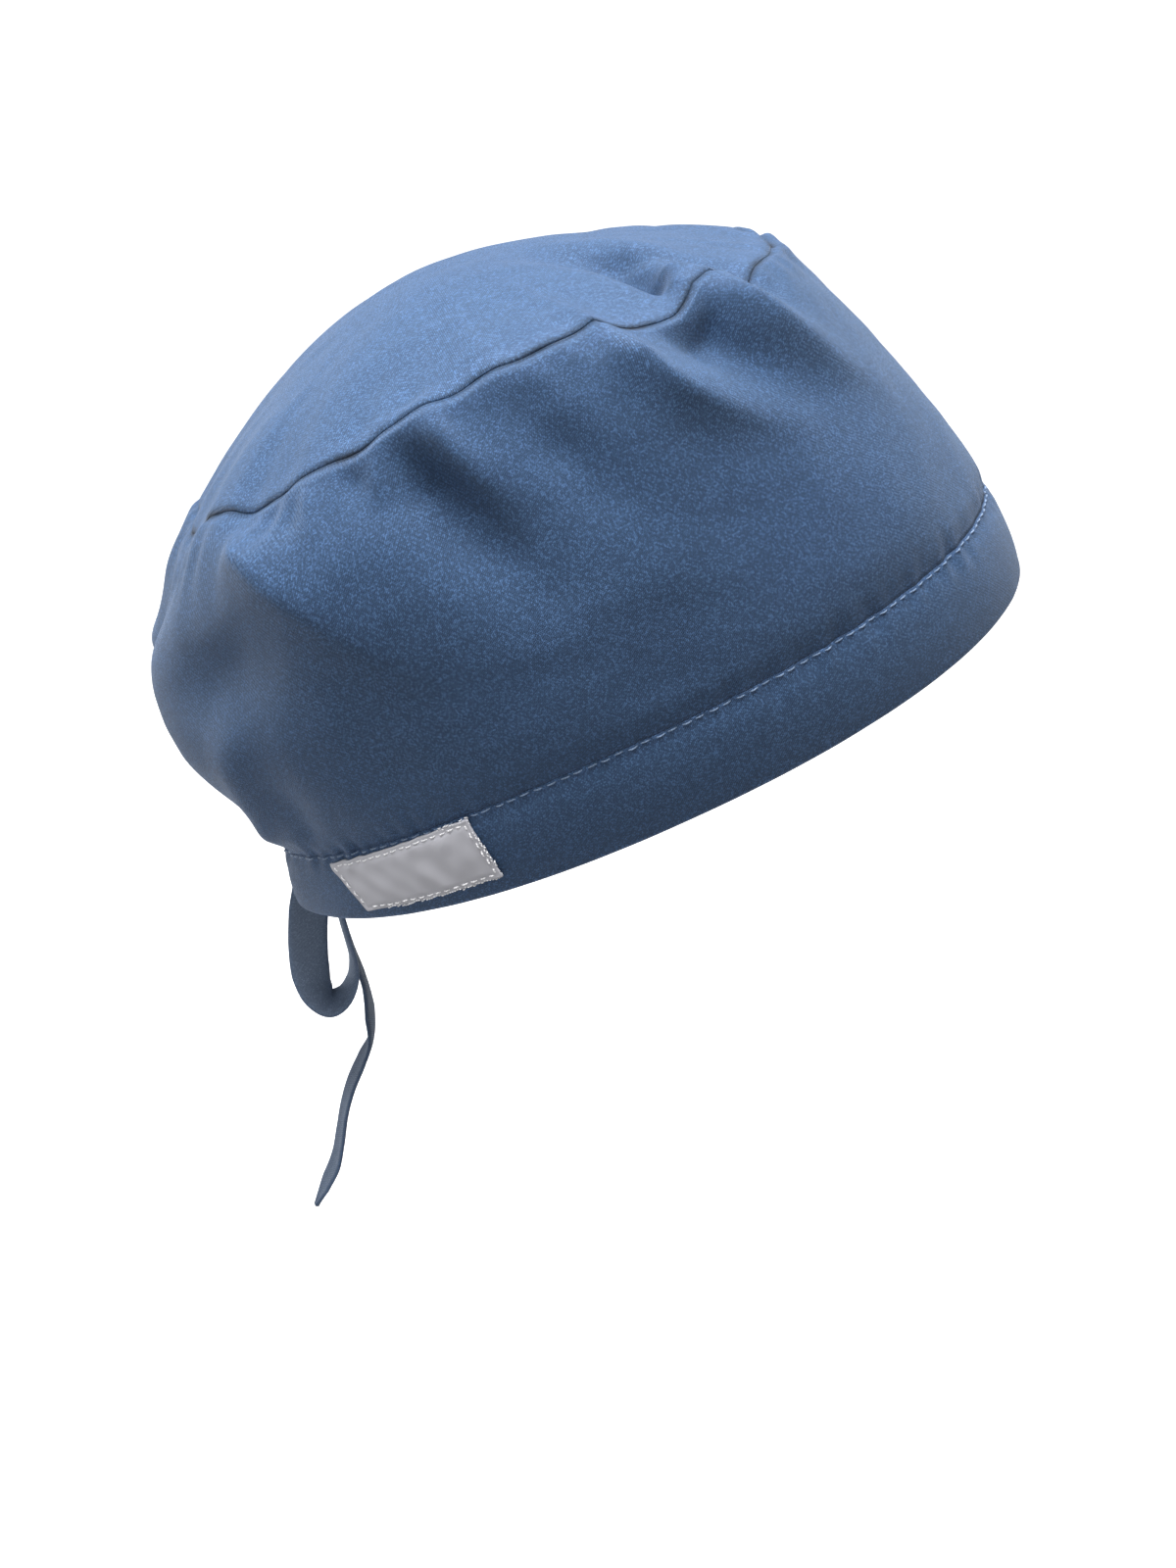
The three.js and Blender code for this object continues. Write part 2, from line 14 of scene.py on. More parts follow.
import bpy
import numpy as np
from mathutils import Vector
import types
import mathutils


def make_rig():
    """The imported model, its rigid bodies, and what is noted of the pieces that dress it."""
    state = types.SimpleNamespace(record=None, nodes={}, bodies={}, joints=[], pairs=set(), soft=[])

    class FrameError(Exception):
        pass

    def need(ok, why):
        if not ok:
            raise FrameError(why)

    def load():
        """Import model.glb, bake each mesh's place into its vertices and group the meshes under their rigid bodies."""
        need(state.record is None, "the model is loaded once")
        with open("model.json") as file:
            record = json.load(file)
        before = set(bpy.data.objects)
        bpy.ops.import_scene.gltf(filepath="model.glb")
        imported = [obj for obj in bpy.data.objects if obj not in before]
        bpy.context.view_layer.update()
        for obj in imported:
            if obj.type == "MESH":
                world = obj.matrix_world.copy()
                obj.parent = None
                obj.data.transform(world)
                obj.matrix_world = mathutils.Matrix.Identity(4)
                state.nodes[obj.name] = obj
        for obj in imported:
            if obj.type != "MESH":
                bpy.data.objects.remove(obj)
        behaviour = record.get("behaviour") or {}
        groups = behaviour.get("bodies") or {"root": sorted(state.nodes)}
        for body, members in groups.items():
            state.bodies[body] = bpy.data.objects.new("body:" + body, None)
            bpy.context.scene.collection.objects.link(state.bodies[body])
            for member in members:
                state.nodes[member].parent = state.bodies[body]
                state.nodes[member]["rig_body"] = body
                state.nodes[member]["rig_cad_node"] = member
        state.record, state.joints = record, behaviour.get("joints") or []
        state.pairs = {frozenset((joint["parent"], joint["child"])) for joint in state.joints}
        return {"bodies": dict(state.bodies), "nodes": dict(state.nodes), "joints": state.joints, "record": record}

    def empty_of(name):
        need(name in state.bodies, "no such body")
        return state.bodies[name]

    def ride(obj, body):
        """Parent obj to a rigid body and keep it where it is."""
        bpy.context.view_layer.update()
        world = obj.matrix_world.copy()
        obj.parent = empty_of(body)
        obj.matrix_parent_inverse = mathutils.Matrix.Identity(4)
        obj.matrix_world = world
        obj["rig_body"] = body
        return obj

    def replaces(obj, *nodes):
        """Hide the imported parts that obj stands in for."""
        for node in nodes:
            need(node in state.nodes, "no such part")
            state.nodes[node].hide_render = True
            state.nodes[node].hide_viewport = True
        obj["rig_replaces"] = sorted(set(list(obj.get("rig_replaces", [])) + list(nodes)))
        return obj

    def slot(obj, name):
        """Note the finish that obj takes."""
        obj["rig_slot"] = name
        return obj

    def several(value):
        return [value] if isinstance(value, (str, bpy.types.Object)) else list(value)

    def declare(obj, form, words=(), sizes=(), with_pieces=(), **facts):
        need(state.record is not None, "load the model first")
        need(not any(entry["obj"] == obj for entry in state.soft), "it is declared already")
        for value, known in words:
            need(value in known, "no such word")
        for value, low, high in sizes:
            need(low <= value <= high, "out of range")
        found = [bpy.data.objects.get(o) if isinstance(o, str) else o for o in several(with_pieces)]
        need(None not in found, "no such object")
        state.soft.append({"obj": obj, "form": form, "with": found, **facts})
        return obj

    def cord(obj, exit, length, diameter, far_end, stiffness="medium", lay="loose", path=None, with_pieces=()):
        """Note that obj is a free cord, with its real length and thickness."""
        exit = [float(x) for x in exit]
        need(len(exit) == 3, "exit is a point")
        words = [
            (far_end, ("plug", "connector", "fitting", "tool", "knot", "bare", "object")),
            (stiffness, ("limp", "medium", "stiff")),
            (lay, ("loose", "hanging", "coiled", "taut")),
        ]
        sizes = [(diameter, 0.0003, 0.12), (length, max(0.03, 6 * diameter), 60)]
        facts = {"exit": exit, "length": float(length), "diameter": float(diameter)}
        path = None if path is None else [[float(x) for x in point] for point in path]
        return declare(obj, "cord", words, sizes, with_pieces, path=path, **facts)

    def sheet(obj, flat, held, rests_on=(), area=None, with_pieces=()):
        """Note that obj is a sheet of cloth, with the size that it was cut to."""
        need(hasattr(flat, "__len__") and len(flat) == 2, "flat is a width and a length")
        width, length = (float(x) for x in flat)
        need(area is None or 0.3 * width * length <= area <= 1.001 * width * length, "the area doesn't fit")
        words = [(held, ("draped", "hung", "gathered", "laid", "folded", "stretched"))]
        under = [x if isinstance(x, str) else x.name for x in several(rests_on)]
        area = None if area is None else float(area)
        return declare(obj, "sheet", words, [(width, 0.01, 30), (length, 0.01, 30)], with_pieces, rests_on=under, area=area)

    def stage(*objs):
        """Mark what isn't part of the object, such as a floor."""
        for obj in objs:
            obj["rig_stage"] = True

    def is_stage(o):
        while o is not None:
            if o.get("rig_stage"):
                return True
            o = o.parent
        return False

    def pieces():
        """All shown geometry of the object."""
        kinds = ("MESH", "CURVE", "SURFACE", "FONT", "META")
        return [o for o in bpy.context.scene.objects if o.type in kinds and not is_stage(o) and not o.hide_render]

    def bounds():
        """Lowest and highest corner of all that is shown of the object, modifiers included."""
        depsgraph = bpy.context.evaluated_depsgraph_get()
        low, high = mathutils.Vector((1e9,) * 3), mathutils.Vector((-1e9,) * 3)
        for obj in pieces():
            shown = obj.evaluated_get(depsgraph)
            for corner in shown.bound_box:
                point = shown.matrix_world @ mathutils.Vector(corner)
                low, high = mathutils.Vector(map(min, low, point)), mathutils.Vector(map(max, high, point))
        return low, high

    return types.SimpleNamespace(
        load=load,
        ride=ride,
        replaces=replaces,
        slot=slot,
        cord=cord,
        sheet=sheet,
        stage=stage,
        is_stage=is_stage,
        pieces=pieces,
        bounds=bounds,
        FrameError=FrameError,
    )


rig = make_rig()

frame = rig.load()
cad_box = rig.bounds()

LOG = logging.getLogger("scrub_cap")
BODY = "root"
SIZE_FILE = "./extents.json"
CLOTH_MAP = "cloth"
WEAR_AND_SHADE_MAP = "wear_and_shade"
MM = 0.001
WHITE = (1.0, 1.0, 1.0)
# Small steps in degrees and shares, over which the cloth's direction is measured
TURN_STEP = 0.5
SHARE_STEP = 0.01
# A fold's width at its start beside its spread, and what it gains by its foot
FOLD_START = 0.6
FOLD_WIDENS = 0.8

Array = np.ndarray
Colour = tuple[float, float, float]
Place = tuple[float, float, float]
Faces = list[list[int]]
Surface = Callable[[Array, Array], Array]
Operand = Union["Value", float]


# Shader values and node graphs


class Value:
    """A socket of a node tree. Arithmetic on it adds Math nodes."""

    def __init__(self, graph: "Graph", socket: bpy.types.NodeSocket) -> None:
        """Keeps the socket and the graph it belongs to."""
        self.graph = graph
        self.socket = socket

    def __add__(self, other: Operand) -> "Value":
        """This value plus another."""
        return self.graph.math("ADD", self, other)

    def __radd__(self, other: Operand) -> "Value":
        """Another value plus this one."""
        return self.graph.math("ADD", other, self)

    def __sub__(self, other: Operand) -> "Value":
        """This value less another."""
        return self.graph.math("SUBTRACT", self, other)

    def __rsub__(self, other: Operand) -> "Value":
        """Another value less this one."""
        return self.graph.math("SUBTRACT", other, self)

    def __mul__(self, other: Operand) -> "Value":
        """This value times another."""
        return self.graph.math("MULTIPLY", self, other)

    def __rmul__(self, other: Operand) -> "Value":
        """Another value times this one."""
        return self.graph.math("MULTIPLY", other, self)

    def __truediv__(self, other: Operand) -> "Value":
        """This value over another."""
        return self.graph.math("DIVIDE", self, other)

    def __mod__(self, other: Operand) -> "Value":
        """What is left of this value after whole steps of another."""
        return self.graph.math("FLOORED_MODULO", self, other)

    def __gt__(self, other: Operand) -> "Value":
        """1 where this value is above another, and 0 elsewhere."""
        return self.graph.math("GREATER_THAN", self, other)

    def __abs__(self) -> "Value":
        """This value without its sign."""
        return self.graph.math("ABSOLUTE", self)

    def floor(self) -> "Value":
        """The whole part of this value."""
        return self.graph.math("FLOOR", self)

    def sine(self) -> "Value":
        """The sine of this value in radians."""
        return self.graph.math("SINE", self)


class Graph:
    """The node tree of one material or of the world."""

    def __init__(self, tree: bpy.types.NodeTree) -> None:
        """Empties the tree."""
        self.tree = tree
        tree.nodes.clear()

    def node(
        self,
        kind: str,
        settings: dict[str, Any] | None = None,
        inputs: dict[str | int, Any] | None = None,
        output: str | int = 0,
    ) -> Value:
        """Adds a node.

        Args:
            kind: the node's type.
            settings: its options, set before its sockets.
            inputs: a number, colour or Value for each socket, by name or place.
            output: the socket that the result stands for.

        Returns:
            The chosen output.
        """
        node = self.tree.nodes.new(kind)
        for key, setting in (settings or {}).items():
            setattr(node, key, setting)
        for key, given in (inputs or {}).items():
            if isinstance(given, Value):
                self.tree.links.new(given.socket, node.inputs[key])
            else:
                node.inputs[key].default_value = given
        return Value(self, node.outputs[output] if node.outputs else None)

    def math(self, operation: str, *operands: Operand) -> Value:
        """Adds a Math node for an operation on values and numbers."""
        return self.node("ShaderNodeMath", {"operation": operation}, dict(enumerate(operands)))

    def tint(self, factor: Operand, first: Any, second: Any) -> Value:
        """A colour from first, where factor is 0, to second, where it is 1."""
        settings = {"data_type": "RGBA", "clamp_factor": True}
        return self.node("ShaderNodeMix", settings, {0: factor, 6: first, 7: second}, output=2)

    def scaled(self, vector: Value | Colour, factor: Operand) -> Value:
        """A vector or colour times a number."""
        return self.node("ShaderNodeVectorMath", {"operation": "SCALE"}, {0: vector, "Scale": factor})

    def noise(self, place: Value, size: float, detail: float = 2.0) -> Value:
        """Soft noise from 0 to 1 whose patches are about size metres wide."""
        inputs = {"Vector": place, "Scale": 1.0 / size, "Detail": detail, "Roughness": 0.55}
        return self.node("ShaderNodeTexNoise", {"noise_dimensions": "2D"}, inputs)


def rgba(colour: Colour) -> tuple[float, float, float, float]:
    """A colour with full alpha."""
    return (*colour, 1.0)


def new_material(name: str) -> tuple[bpy.types.Material, Graph]:
    """A material with an empty node graph."""
    material = bpy.data.materials.new(name)
    material.use_nodes = True
    return material, Graph(material.node_tree)


# Finishes


class Weave(Enum):
    """How threads cross: the number of crossings after which the pattern repeats."""

    TWILL = 3
    SATIN = 5


@dataclass(frozen=True)
class ClothFinish:
    """Woven cloth whose threads show in colour, gloss and relief.

    Attributes:
        name: the material's name.
        colour: the dyed cloth, linear.
        weave: how the threads cross.
        pitch: distance between threads.
        contrast: how far a crossing may be darker or lighter than the cloth, by the weave and by bright specks that
            are partly the threads' own uneven tone and partly painted glints.
        relief: height of the threads.
        rough: roughness of the threads' tops.
        sheen: strength of the fuzz that lights up at grazing angles.
        worn: the colour that seams and edges fade towards.
        weft_height: height of the weft beside the warp.
        slub_size: width of the patches of thicker thread.
        dye_size: width of the patches of deeper dye.
        patchy: how far either patch changes the colour.
        bump: strength of the relief.
        stray: how far a crossing may be higher than the next.
        hollow_rough: what the hollows between threads add to the roughness.
        specular: strength of the threads' gloss.
        fuzz_rough: roughness of the fuzz.
        fuzz_tint: colour of the fuzz.
    """

    name: str
    colour: Colour
    weave: Weave
    pitch: float
    contrast: float
    relief: float
    rough: float
    sheen: float
    worn: Colour
    weft_height: float = 0.8
    slub_size: float = 9 * MM
    dye_size: float = 45 * MM
    patchy: float = 0.05
    bump: float = 0.7
    stray: float = 0.5
    hollow_rough: float = 0.12
    specular: float = 0.14
    fuzz_rough: float = 0.45
    fuzz_tint: Colour = (0.62, 0.76, 1.0)

    def material(self) -> bpy.types.Material:
        """Makes the cloth's material.

        Returns:
            A material that reads the mesh's cloth map and wear map; below 0 the wear map paints shade into the colour.
        """
        material, graph = new_material(self.name)
        place = graph.node("ShaderNodeUVMap", {"uv_map": CLOTH_MAP})
        across = graph.node("ShaderNodeSeparateXYZ", None, {0: place}, "X") / self.pitch
        along = graph.node("ShaderNodeSeparateXYZ", None, {0: place}, "Y") / self.pitch
        warp = abs((across * math.pi).sine())
        weft = abs((along * math.pi).sine())
        over = (across.floor() + along.floor()) % self.weave.value > 0.5
        height = over * warp + (1.0 - over) * weft * self.weft_height
        crossing = graph.node("ShaderNodeCombineXYZ", None, {0: across.floor(), 1: along.floor()})
        chance = graph.node("ShaderNodeTexWhiteNoise", {"noise_dimensions": "2D"}, {"Vector": crossing})
        slub = graph.noise(place, self.slub_size, 3.0)
        dye = graph.noise(place, self.dye_size)
        # Bright specks on single crossings from the cubed chance: partly the threads' own uneven tone, partly painted
        # glints of the threads.
        level = (
            1.0
            + self.contrast * (height - 0.6)
            + self.contrast * (chance * chance * chance - 0.25)
            + self.patchy * (slub - 0.5)
            + self.patchy * (dye - 0.5)
        )
        wear_and_shade = graph.node("ShaderNodeAttribute", {"attribute_name": WEAR_AND_SHADE_MAP}, None, "Fac")
        faded = graph.tint(wear_and_shade * (0.55 + 0.6 * slub), rgba(self.colour), rgba(self.worn))
        # Below 0 the wear map paints shade: the crown seam, the back seam and the knot's ditches are darkened in the
        # colour.
        ditch = graph.math("MINIMUM", wear_and_shade, 0.0)
        colour = graph.scaled(faded, level * (1.0 + ditch))
        bump = graph.node(
            "ShaderNodeBump",
            None,
            {"Strength": self.bump, "Distance": self.relief, "Height": height + self.stray * chance},
        )
        shader = graph.node(
            "ShaderNodeBsdfPrincipled",
            None,
            {
                "Base Color": colour,
                "Roughness": self.rough + self.hollow_rough * (1.0 - height),
                "Normal": bump,
                "Specular IOR Level": self.specular,
                "Sheen Weight": self.sheen,
                "Sheen Roughness": self.fuzz_rough,
                "Sheen Tint": rgba(self.fuzz_tint),
            },
        )
        graph.node("ShaderNodeOutputMaterial", None, {"Surface": shader})
        return material


@dataclass(frozen=True)
class ThreadFinish:
    """Twisted sewing thread.

    Attributes:
        name: the material's name.
        colour: the thread, linear.
        twist: length of one turn of the ply.
        relief: height of the ply.
        sheen: strength of the thread's fuzz.
    """

    name: str
    colour: Colour
    twist: float = 0.7 * MM
    relief: float = 0.08 * MM
    sheen: float = 0.2

    def material(self) -> bpy.types.Material:
        """Makes the thread's material, with the ply's turns as stripes and relief."""
        material, graph = new_material(self.name)
        place = graph.node("ShaderNodeUVMap", {"uv_map": CLOTH_MAP})
        along = graph.node("ShaderNodeSeparateXYZ", None, {0: place}, "X")
        around = graph.node("ShaderNodeSeparateXYZ", None, {0: place}, "Y")
        ply = abs(((along / self.twist + around) * math.pi).sine())
        bump = graph.node(
            "ShaderNodeBump", None, {"Strength": 0.6, "Distance": self.relief, "Height": ply}
        )
        inputs = {
            "Base Color": graph.scaled(self.colour, 0.65 + 0.45 * ply),
            "Roughness": 0.5 + 0.15 * ply,
            "Normal": bump,
            "Sheen Weight": self.sheen,
        }
        shader = graph.node("ShaderNodeBsdfPrincipled", None, inputs)
        graph.node("ShaderNodeOutputMaterial", None, {"Surface": shader})
        return material


@dataclass(frozen=True)
class PaperFinish:
    """A white backdrop, lit evenly from behind."""

    name: str = "studio_paper"
    colour: Colour = (0.5, 0.5, 0.5)
    glow: float = 1.0

    def material(self) -> bpy.types.Material:
        """Makes the floor's material, with a faint mottle."""
        material, graph = new_material(self.name)
        place = graph.node("ShaderNodeTexCoord", None, None, "Object")
        mottle = graph.noise(place, 0.4)
        colour = graph.tint(mottle * 0.5, rgba(self.colour), rgba(tuple(0.97 * c for c in self.colour)))
        inputs = {
            "Base Color": colour,
            "Roughness": 0.9,
            "Specular IOR Level": 0.2,
            "Emission Color": rgba(WHITE),
            "Emission Strength": self.glow,
        }
        shader = graph.node("ShaderNodeBsdfPrincipled", None, inputs)
        graph.node("ShaderNodeOutputMaterial", None, {"Surface": shader})
        return material


NAVY = (0.034, 0.070, 0.143)
FADED_NAVY = (0.058, 0.105, 0.21)
# The loop's and knot's tape: its own greyer blue, made lighter with painted light that stands in for the white
# surroundings lighting it under the cap.
TIE_NAVY_WITH_PAINTED_LIGHT = (0.17, 0.225, 0.325)
TAIL_NAVY = (0.052, 0.08, 0.132)
SILVER = (0.97, 0.97, 0.99)
FADED_SILVER = (0.62, 0.62, 0.66)


def tape_cloth(name: str, colour: Colour) -> ClothFinish:
    """The tie's cloth, a flatter twill than the cap's."""
    return ClothFinish(name, colour, Weave.TWILL, 0.38 * MM, 0.35, 0.12 * MM, 0.6, 0.3, FADED_NAVY)


CAP_CLOTH = ClothFinish(
    "navy_twill", NAVY, Weave.TWILL, 0.36 * MM, 1.0, 0.12 * MM, 0.55, 0.16, FADED_NAVY
)
TIE_CLOTH_WITH_PAINTED_LIGHT = tape_cloth("tie_twill_painted_light", TIE_NAVY_WITH_PAINTED_LIGHT)
TAIL_CLOTH = tape_cloth("tail_twill", TAIL_NAVY)
LABEL_SATIN = ClothFinish(
    "label_satin", SILVER, Weave.SATIN, 0.4 * MM, 0.3, 0.08 * MM, 0.38, 0.2, FADED_SILVER
)
HEM_THREAD = ThreadFinish("hem_thread", (0.16, 0.24, 0.38))
LABEL_THREAD = ThreadFinish("label_thread", (0.95, 0.95, 0.97))
Finish = Union[ClothFinish, ThreadFinish]


# Rows of the tables


@dataclass(frozen=True)
class Section:
    """One level of the wall.

    Attributes:
        share: of the wall.
        high_front: height above the rim plane at the front.
        high_side: the same at the sides.
        high_back: the same at the nape.
        front: reach from the middle to the front.
        back: reach from the middle to the back.
        half: half width.
        cleft: how far the middle of the back is drawn in.
    """

    share: float
    high_front: float
    high_side: float
    high_back: float
    front: float
    back: float
    half: float
    cleft: float


@dataclass(frozen=True)
class Fold:
    """A fold of the cloth.

    Attributes:
        at: where round the cap it starts.
        lean: how far round it drifts by its foot.
        reach: the share that it runs.
        spread: half width in degrees.
        depth: out from the cloth, or in if negative.
        bow: below 1 it drifts at once, above 1 towards its foot.
        crest: 2 is round, less is creased.
        start: how far along it is at its fullest.
    """

    at: float
    lean: float
    reach: float
    spread: float
    depth: float
    bow: float = 1.0
    crest: float = 2.0
    start: float = 0.25


@dataclass(frozen=True)
class Bulge:
    """A rounded place that stands out from the wall, or in where its depth is negative."""

    at: float
    share: float
    spread: float
    tall: float
    depth: float


@dataclass(frozen=True)
class Kink:
    """A place where the gathers push the crown seam up or down."""

    at: float
    lift: float
    spread: float


@dataclass(frozen=True)
class TapePoint:
    """A point of a tie's route, how far its width is turned from +Y, and its share of full width."""

    x: float
    y: float
    z: float
    turn: float
    wide: float


SECTIONS = (
    Section(0.00, 0.0, 0.0, 0.001, 0.1055, 0.106, 0.083, 0.016),
    Section(0.22, 0.0235, 0.024, 0.0155, 0.104, 0.102, 0.086, 0.015),
    Section(0.36, 0.040, 0.040, 0.0265, 0.101, 0.105, 0.0875, 0.013),
    Section(0.55, 0.061, 0.062, 0.049, 0.094, 0.113, 0.0872, 0.010),
    Section(0.78, 0.088, 0.0905, 0.074, 0.084, 0.108, 0.0845, 0.006),
    Section(1.00, 0.1005, 0.1092, 0.098, 0.078, 0.085, 0.076, 0.002),
)

SEAM_FOLDS = (
    Fold(-146, 40, 0.56, 9, 0.0085, bow=0.55, crest=1.35, start=0.26),
    Fold(-121, 10, 0.30, 2.5, 0.0015, crest=1.5),
    Fold(-114, 11, 0.28, 2.5, -0.0018),
    Fold(-106, 16, 0.54, 5.2, -0.0105, bow=0.85, start=0.36),
    Fold(-98.5, 9, 0.52, 3.5, 0.005, crest=1.4, start=0.4),
    Fold(-89.5, 9, 0.50, 6, -0.0045, bow=1.2, start=0.45),
    Fold(-71, 22, 0.42, 5, 0.006, bow=2.0, crest=1.5, start=0.3),
    Fold(-57.5, 19, 0.46, 6, -0.006, bow=1.6, start=0.26),
    Fold(-46, 21, 0.50, 5.5, 0.004, bow=1.5, crest=1.6, start=0.3),
    Fold(-12, 3, 0.35, 6, -0.0015),
    Fold(26, -8, 0.40, 6, -0.0025),
    Fold(48, -10, 0.45, 5, -0.0055, start=0.33),
    Fold(62, -9, 0.42, 5, 0.0035, crest=1.5),
    Fold(84, -8, 0.46, 6, -0.004, start=0.4),
    Fold(108, -12, 0.45, 5, -0.007, start=0.36),
    Fold(128, -14, 0.50, 6, 0.0035, crest=1.5),
    Fold(151, -13, 0.55, 8, -0.004),
)

HEM_FOLDS = (
    Fold(-172, 3, 0.26, 4, 0.002),
    Fold(-163, 28, 0.50, 5, 0.0025),
    Fold(-148, 12, 0.40, 5, -0.002),
    Fold(139, -2, 0.50, 5, 0.0025),
    Fold(152, -4, 0.35, 5, -0.0025),
    Fold(166, -4, 0.30, 4, 0.0025),
)

BULGES = (
    Bulge(-166, 0.87, 10, 0.08, -0.002),
    Bulge(-140, 0.69, 14, 0.11, -0.006),
    Bulge(170, 0.89, 9, 0.05, 0.001),
    Bulge(169, 0.72, 10, 0.055, 0.0032),
)

SEAM_KINKS = (
    Kink(-146, 0.0034, 9),
    Kink(-131, -0.001, 6),
    Kink(-98, 0.0012, 12),
    Kink(-84, 0.0029, 14),
    Kink(-71, 0.0028, 3),
    Kink(-65, -0.0018, 5),
    Kink(-57, -0.0029, 5),
    Kink(-51, 0.003, 4),
    Kink(-44.5, 0.0039, 4.5),
    Kink(-37, -0.0045, 3.5),
    Kink(40, 0.0015, 7),
    Kink(64, -0.0035, 6),
    Kink(90, 0.003, 13),
    Kink(129, -0.0025, 7),
)

CROWN_DENTS = (
    Fold(-55.5, 32, 0.8, 4.8, -0.0095, crest=1.9, start=0.28),
    Fold(-43, 30, 0.75, 6, 0.002, start=0.28),
    Fold(-101, 0, 0.4, 5, -0.002),
    Fold(60, -14, 0.55, 7, -0.0035),
    Fold(112, 0, 0.4, 6, -0.002),
)

LOOP_ROUTE = (
    TapePoint(-0.0896, -0.0035, -0.0338, 70, 0.50),
    TapePoint(-0.0900, -0.0048, -0.0410, 72, 0.80),
    TapePoint(-0.0908, -0.0060, -0.0500, 72, 1.00),
    TapePoint(-0.0914, -0.0065, -0.0600, 72, 1.00),
    TapePoint(-0.0910, -0.0065, -0.0686, 66, 1.00),
    TapePoint(-0.0892, -0.0060, -0.0750, 48, 0.95),
    TapePoint(-0.0860, -0.0055, -0.0784, 28, 0.90),
    TapePoint(-0.0823, -0.0050, -0.0768, 20, 0.85),
    TapePoint(-0.0798, -0.0050, -0.0722, 14, 0.85),
    TapePoint(-0.0793, -0.0050, -0.0662, 12, 0.85),
    TapePoint(-0.0805, -0.0050, -0.0600, 10, 0.80),
    TapePoint(-0.0823, -0.0046, -0.0515, 10, 0.75),
    TapePoint(-0.0839, -0.0040, -0.0420, 10, 0.65),
    TapePoint(-0.0852, -0.0032, -0.0338, 10, 0.50),
)

TAIL_ROUTE = (
    TapePoint(-0.0863, 0.0032, -0.0338, 12, 0.50),
    TapePoint(-0.0845, 0.0040, -0.0450, 2, 0.70),
    TapePoint(-0.0828, 0.0050, -0.0570, -2, 0.85),
    TapePoint(-0.0802, 0.0060, -0.0680, -2, 0.90),
    TapePoint(-0.0773, 0.0070, -0.0780, 0, 0.90),
    TapePoint(-0.0759, 0.0070, -0.0880, 11, 1.00),
    TapePoint(-0.0759, 0.0070, -0.0960, 5, 1.00),
    TapePoint(-0.0786, 0.0070, -0.1025, -4, 1.00),
    TapePoint(-0.0819, 0.0065, -0.1100, -6, 1.00),
    TapePoint(-0.0841, 0.0060, -0.1175, -7, 1.00),
    TapePoint(-0.0856, 0.0055, -0.1260, -9, 1.00),
    TapePoint(-0.0872, 0.0050, -0.1335, -9, 1.00),
    TapePoint(-0.0904, 0.0045, -0.1405, -6, 0.90),
    TapePoint(-0.0934, 0.0040, -0.1470, -6, 0.14),
)


# Form of the cap


def smooth(value: Array) -> Array:
    """An even step from 0 to 1 as value goes from 0 to 1."""
    clipped = np.clip(value, 0.0, 1.0)
    return clipped * clipped * (3.0 - 2.0 * clipped)


def hump(offset: Array, spread: Array | float) -> Array:
    """A bell of height 1 at offset 0."""
    return np.exp(-((offset / spread) ** 2))


def peak(offset: Array, spread: Array | float, crest: float) -> Array:
    """A bell of height 1 at offset 0: round where crest is 2, creased where it is less."""
    return np.exp(-(np.abs(offset / spread) ** crest))


def signed_power(value: Array, power: float) -> Array:
    """A power that keeps the sign."""
    return np.sign(value) * np.abs(value) ** power


def unit(vectors: Array) -> Array:
    """Vectors at length 1."""
    return vectors / np.maximum(np.linalg.norm(vectors, axis=-1, keepdims=True), 1e-12)


def lengths_along(line: Array) -> Array:
    """How far along a line of points each of them lies."""
    return np.concatenate([[0.0], np.cumsum(np.linalg.norm(np.diff(line, axis=0), axis=1))])


def fold_height(fold: Fold, around: Array, run: Array, spread: Array | float) -> Array:
    """How far a fold stands out where run is 0 at its start and 1 at its foot."""
    inside = (run >= 0.0) & (run <= 1.0)
    held = np.clip(run, 0.0, 1.0)
    strength = smooth(held / fold.start) * (1.0 - smooth((held - fold.start) / (1.0 - fold.start)))
    wide = spread * (FOLD_START + FOLD_WIDENS * held)
    away = np.abs(around - fold.at - fold.lean * held**fold.bow) / wide
    return np.where(inside, fold.depth * strength * np.exp(-(away**fold.crest)), 0.0)


def normal_of(surface: Surface, u: Array, v: Array, du: float, dv: float) -> Array:
    """The unit normal of a surface from small steps either way."""
    along = surface(u + du, v) - surface(u - du, v)
    up = surface(u, v + dv) - surface(u, v - dv)
    return unit(np.cross(along, up))


@dataclass(frozen=True)
class Ripples:
    """Small uneven undulations of cloth, the same each time for one seed.

    Attributes:
        seed: picks the waves.
        height: typical height.
        shortest: shortest wave.
        longest: longest wave.
        slant: how far the waves may turn from running up the cloth, in degrees.
        count: number of waves added together.
    """

    seed: int
    height: float
    shortest: float
    longest: float
    slant: float = 90.0
    count: int = 18

    def at(self, across: Array, up: Array) -> Array:
        """The height at places of the cloth, in metres across and up it."""
        draw = np.random.default_rng(self.seed)
        total = np.zeros(np.broadcast(across, up).shape)
        for _ in range(self.count):
            length = draw.uniform(self.shortest, self.longest)
            angle = math.radians(draw.uniform(-self.slant, self.slant))
            phase = draw.uniform(0.0, 2.0 * math.pi)
            reach = across * math.cos(angle) + up * math.sin(angle)
            total = total + np.sin(2.0 * math.pi * reach / length + phase)
        return self.height * total / math.sqrt(self.count / 2.0)


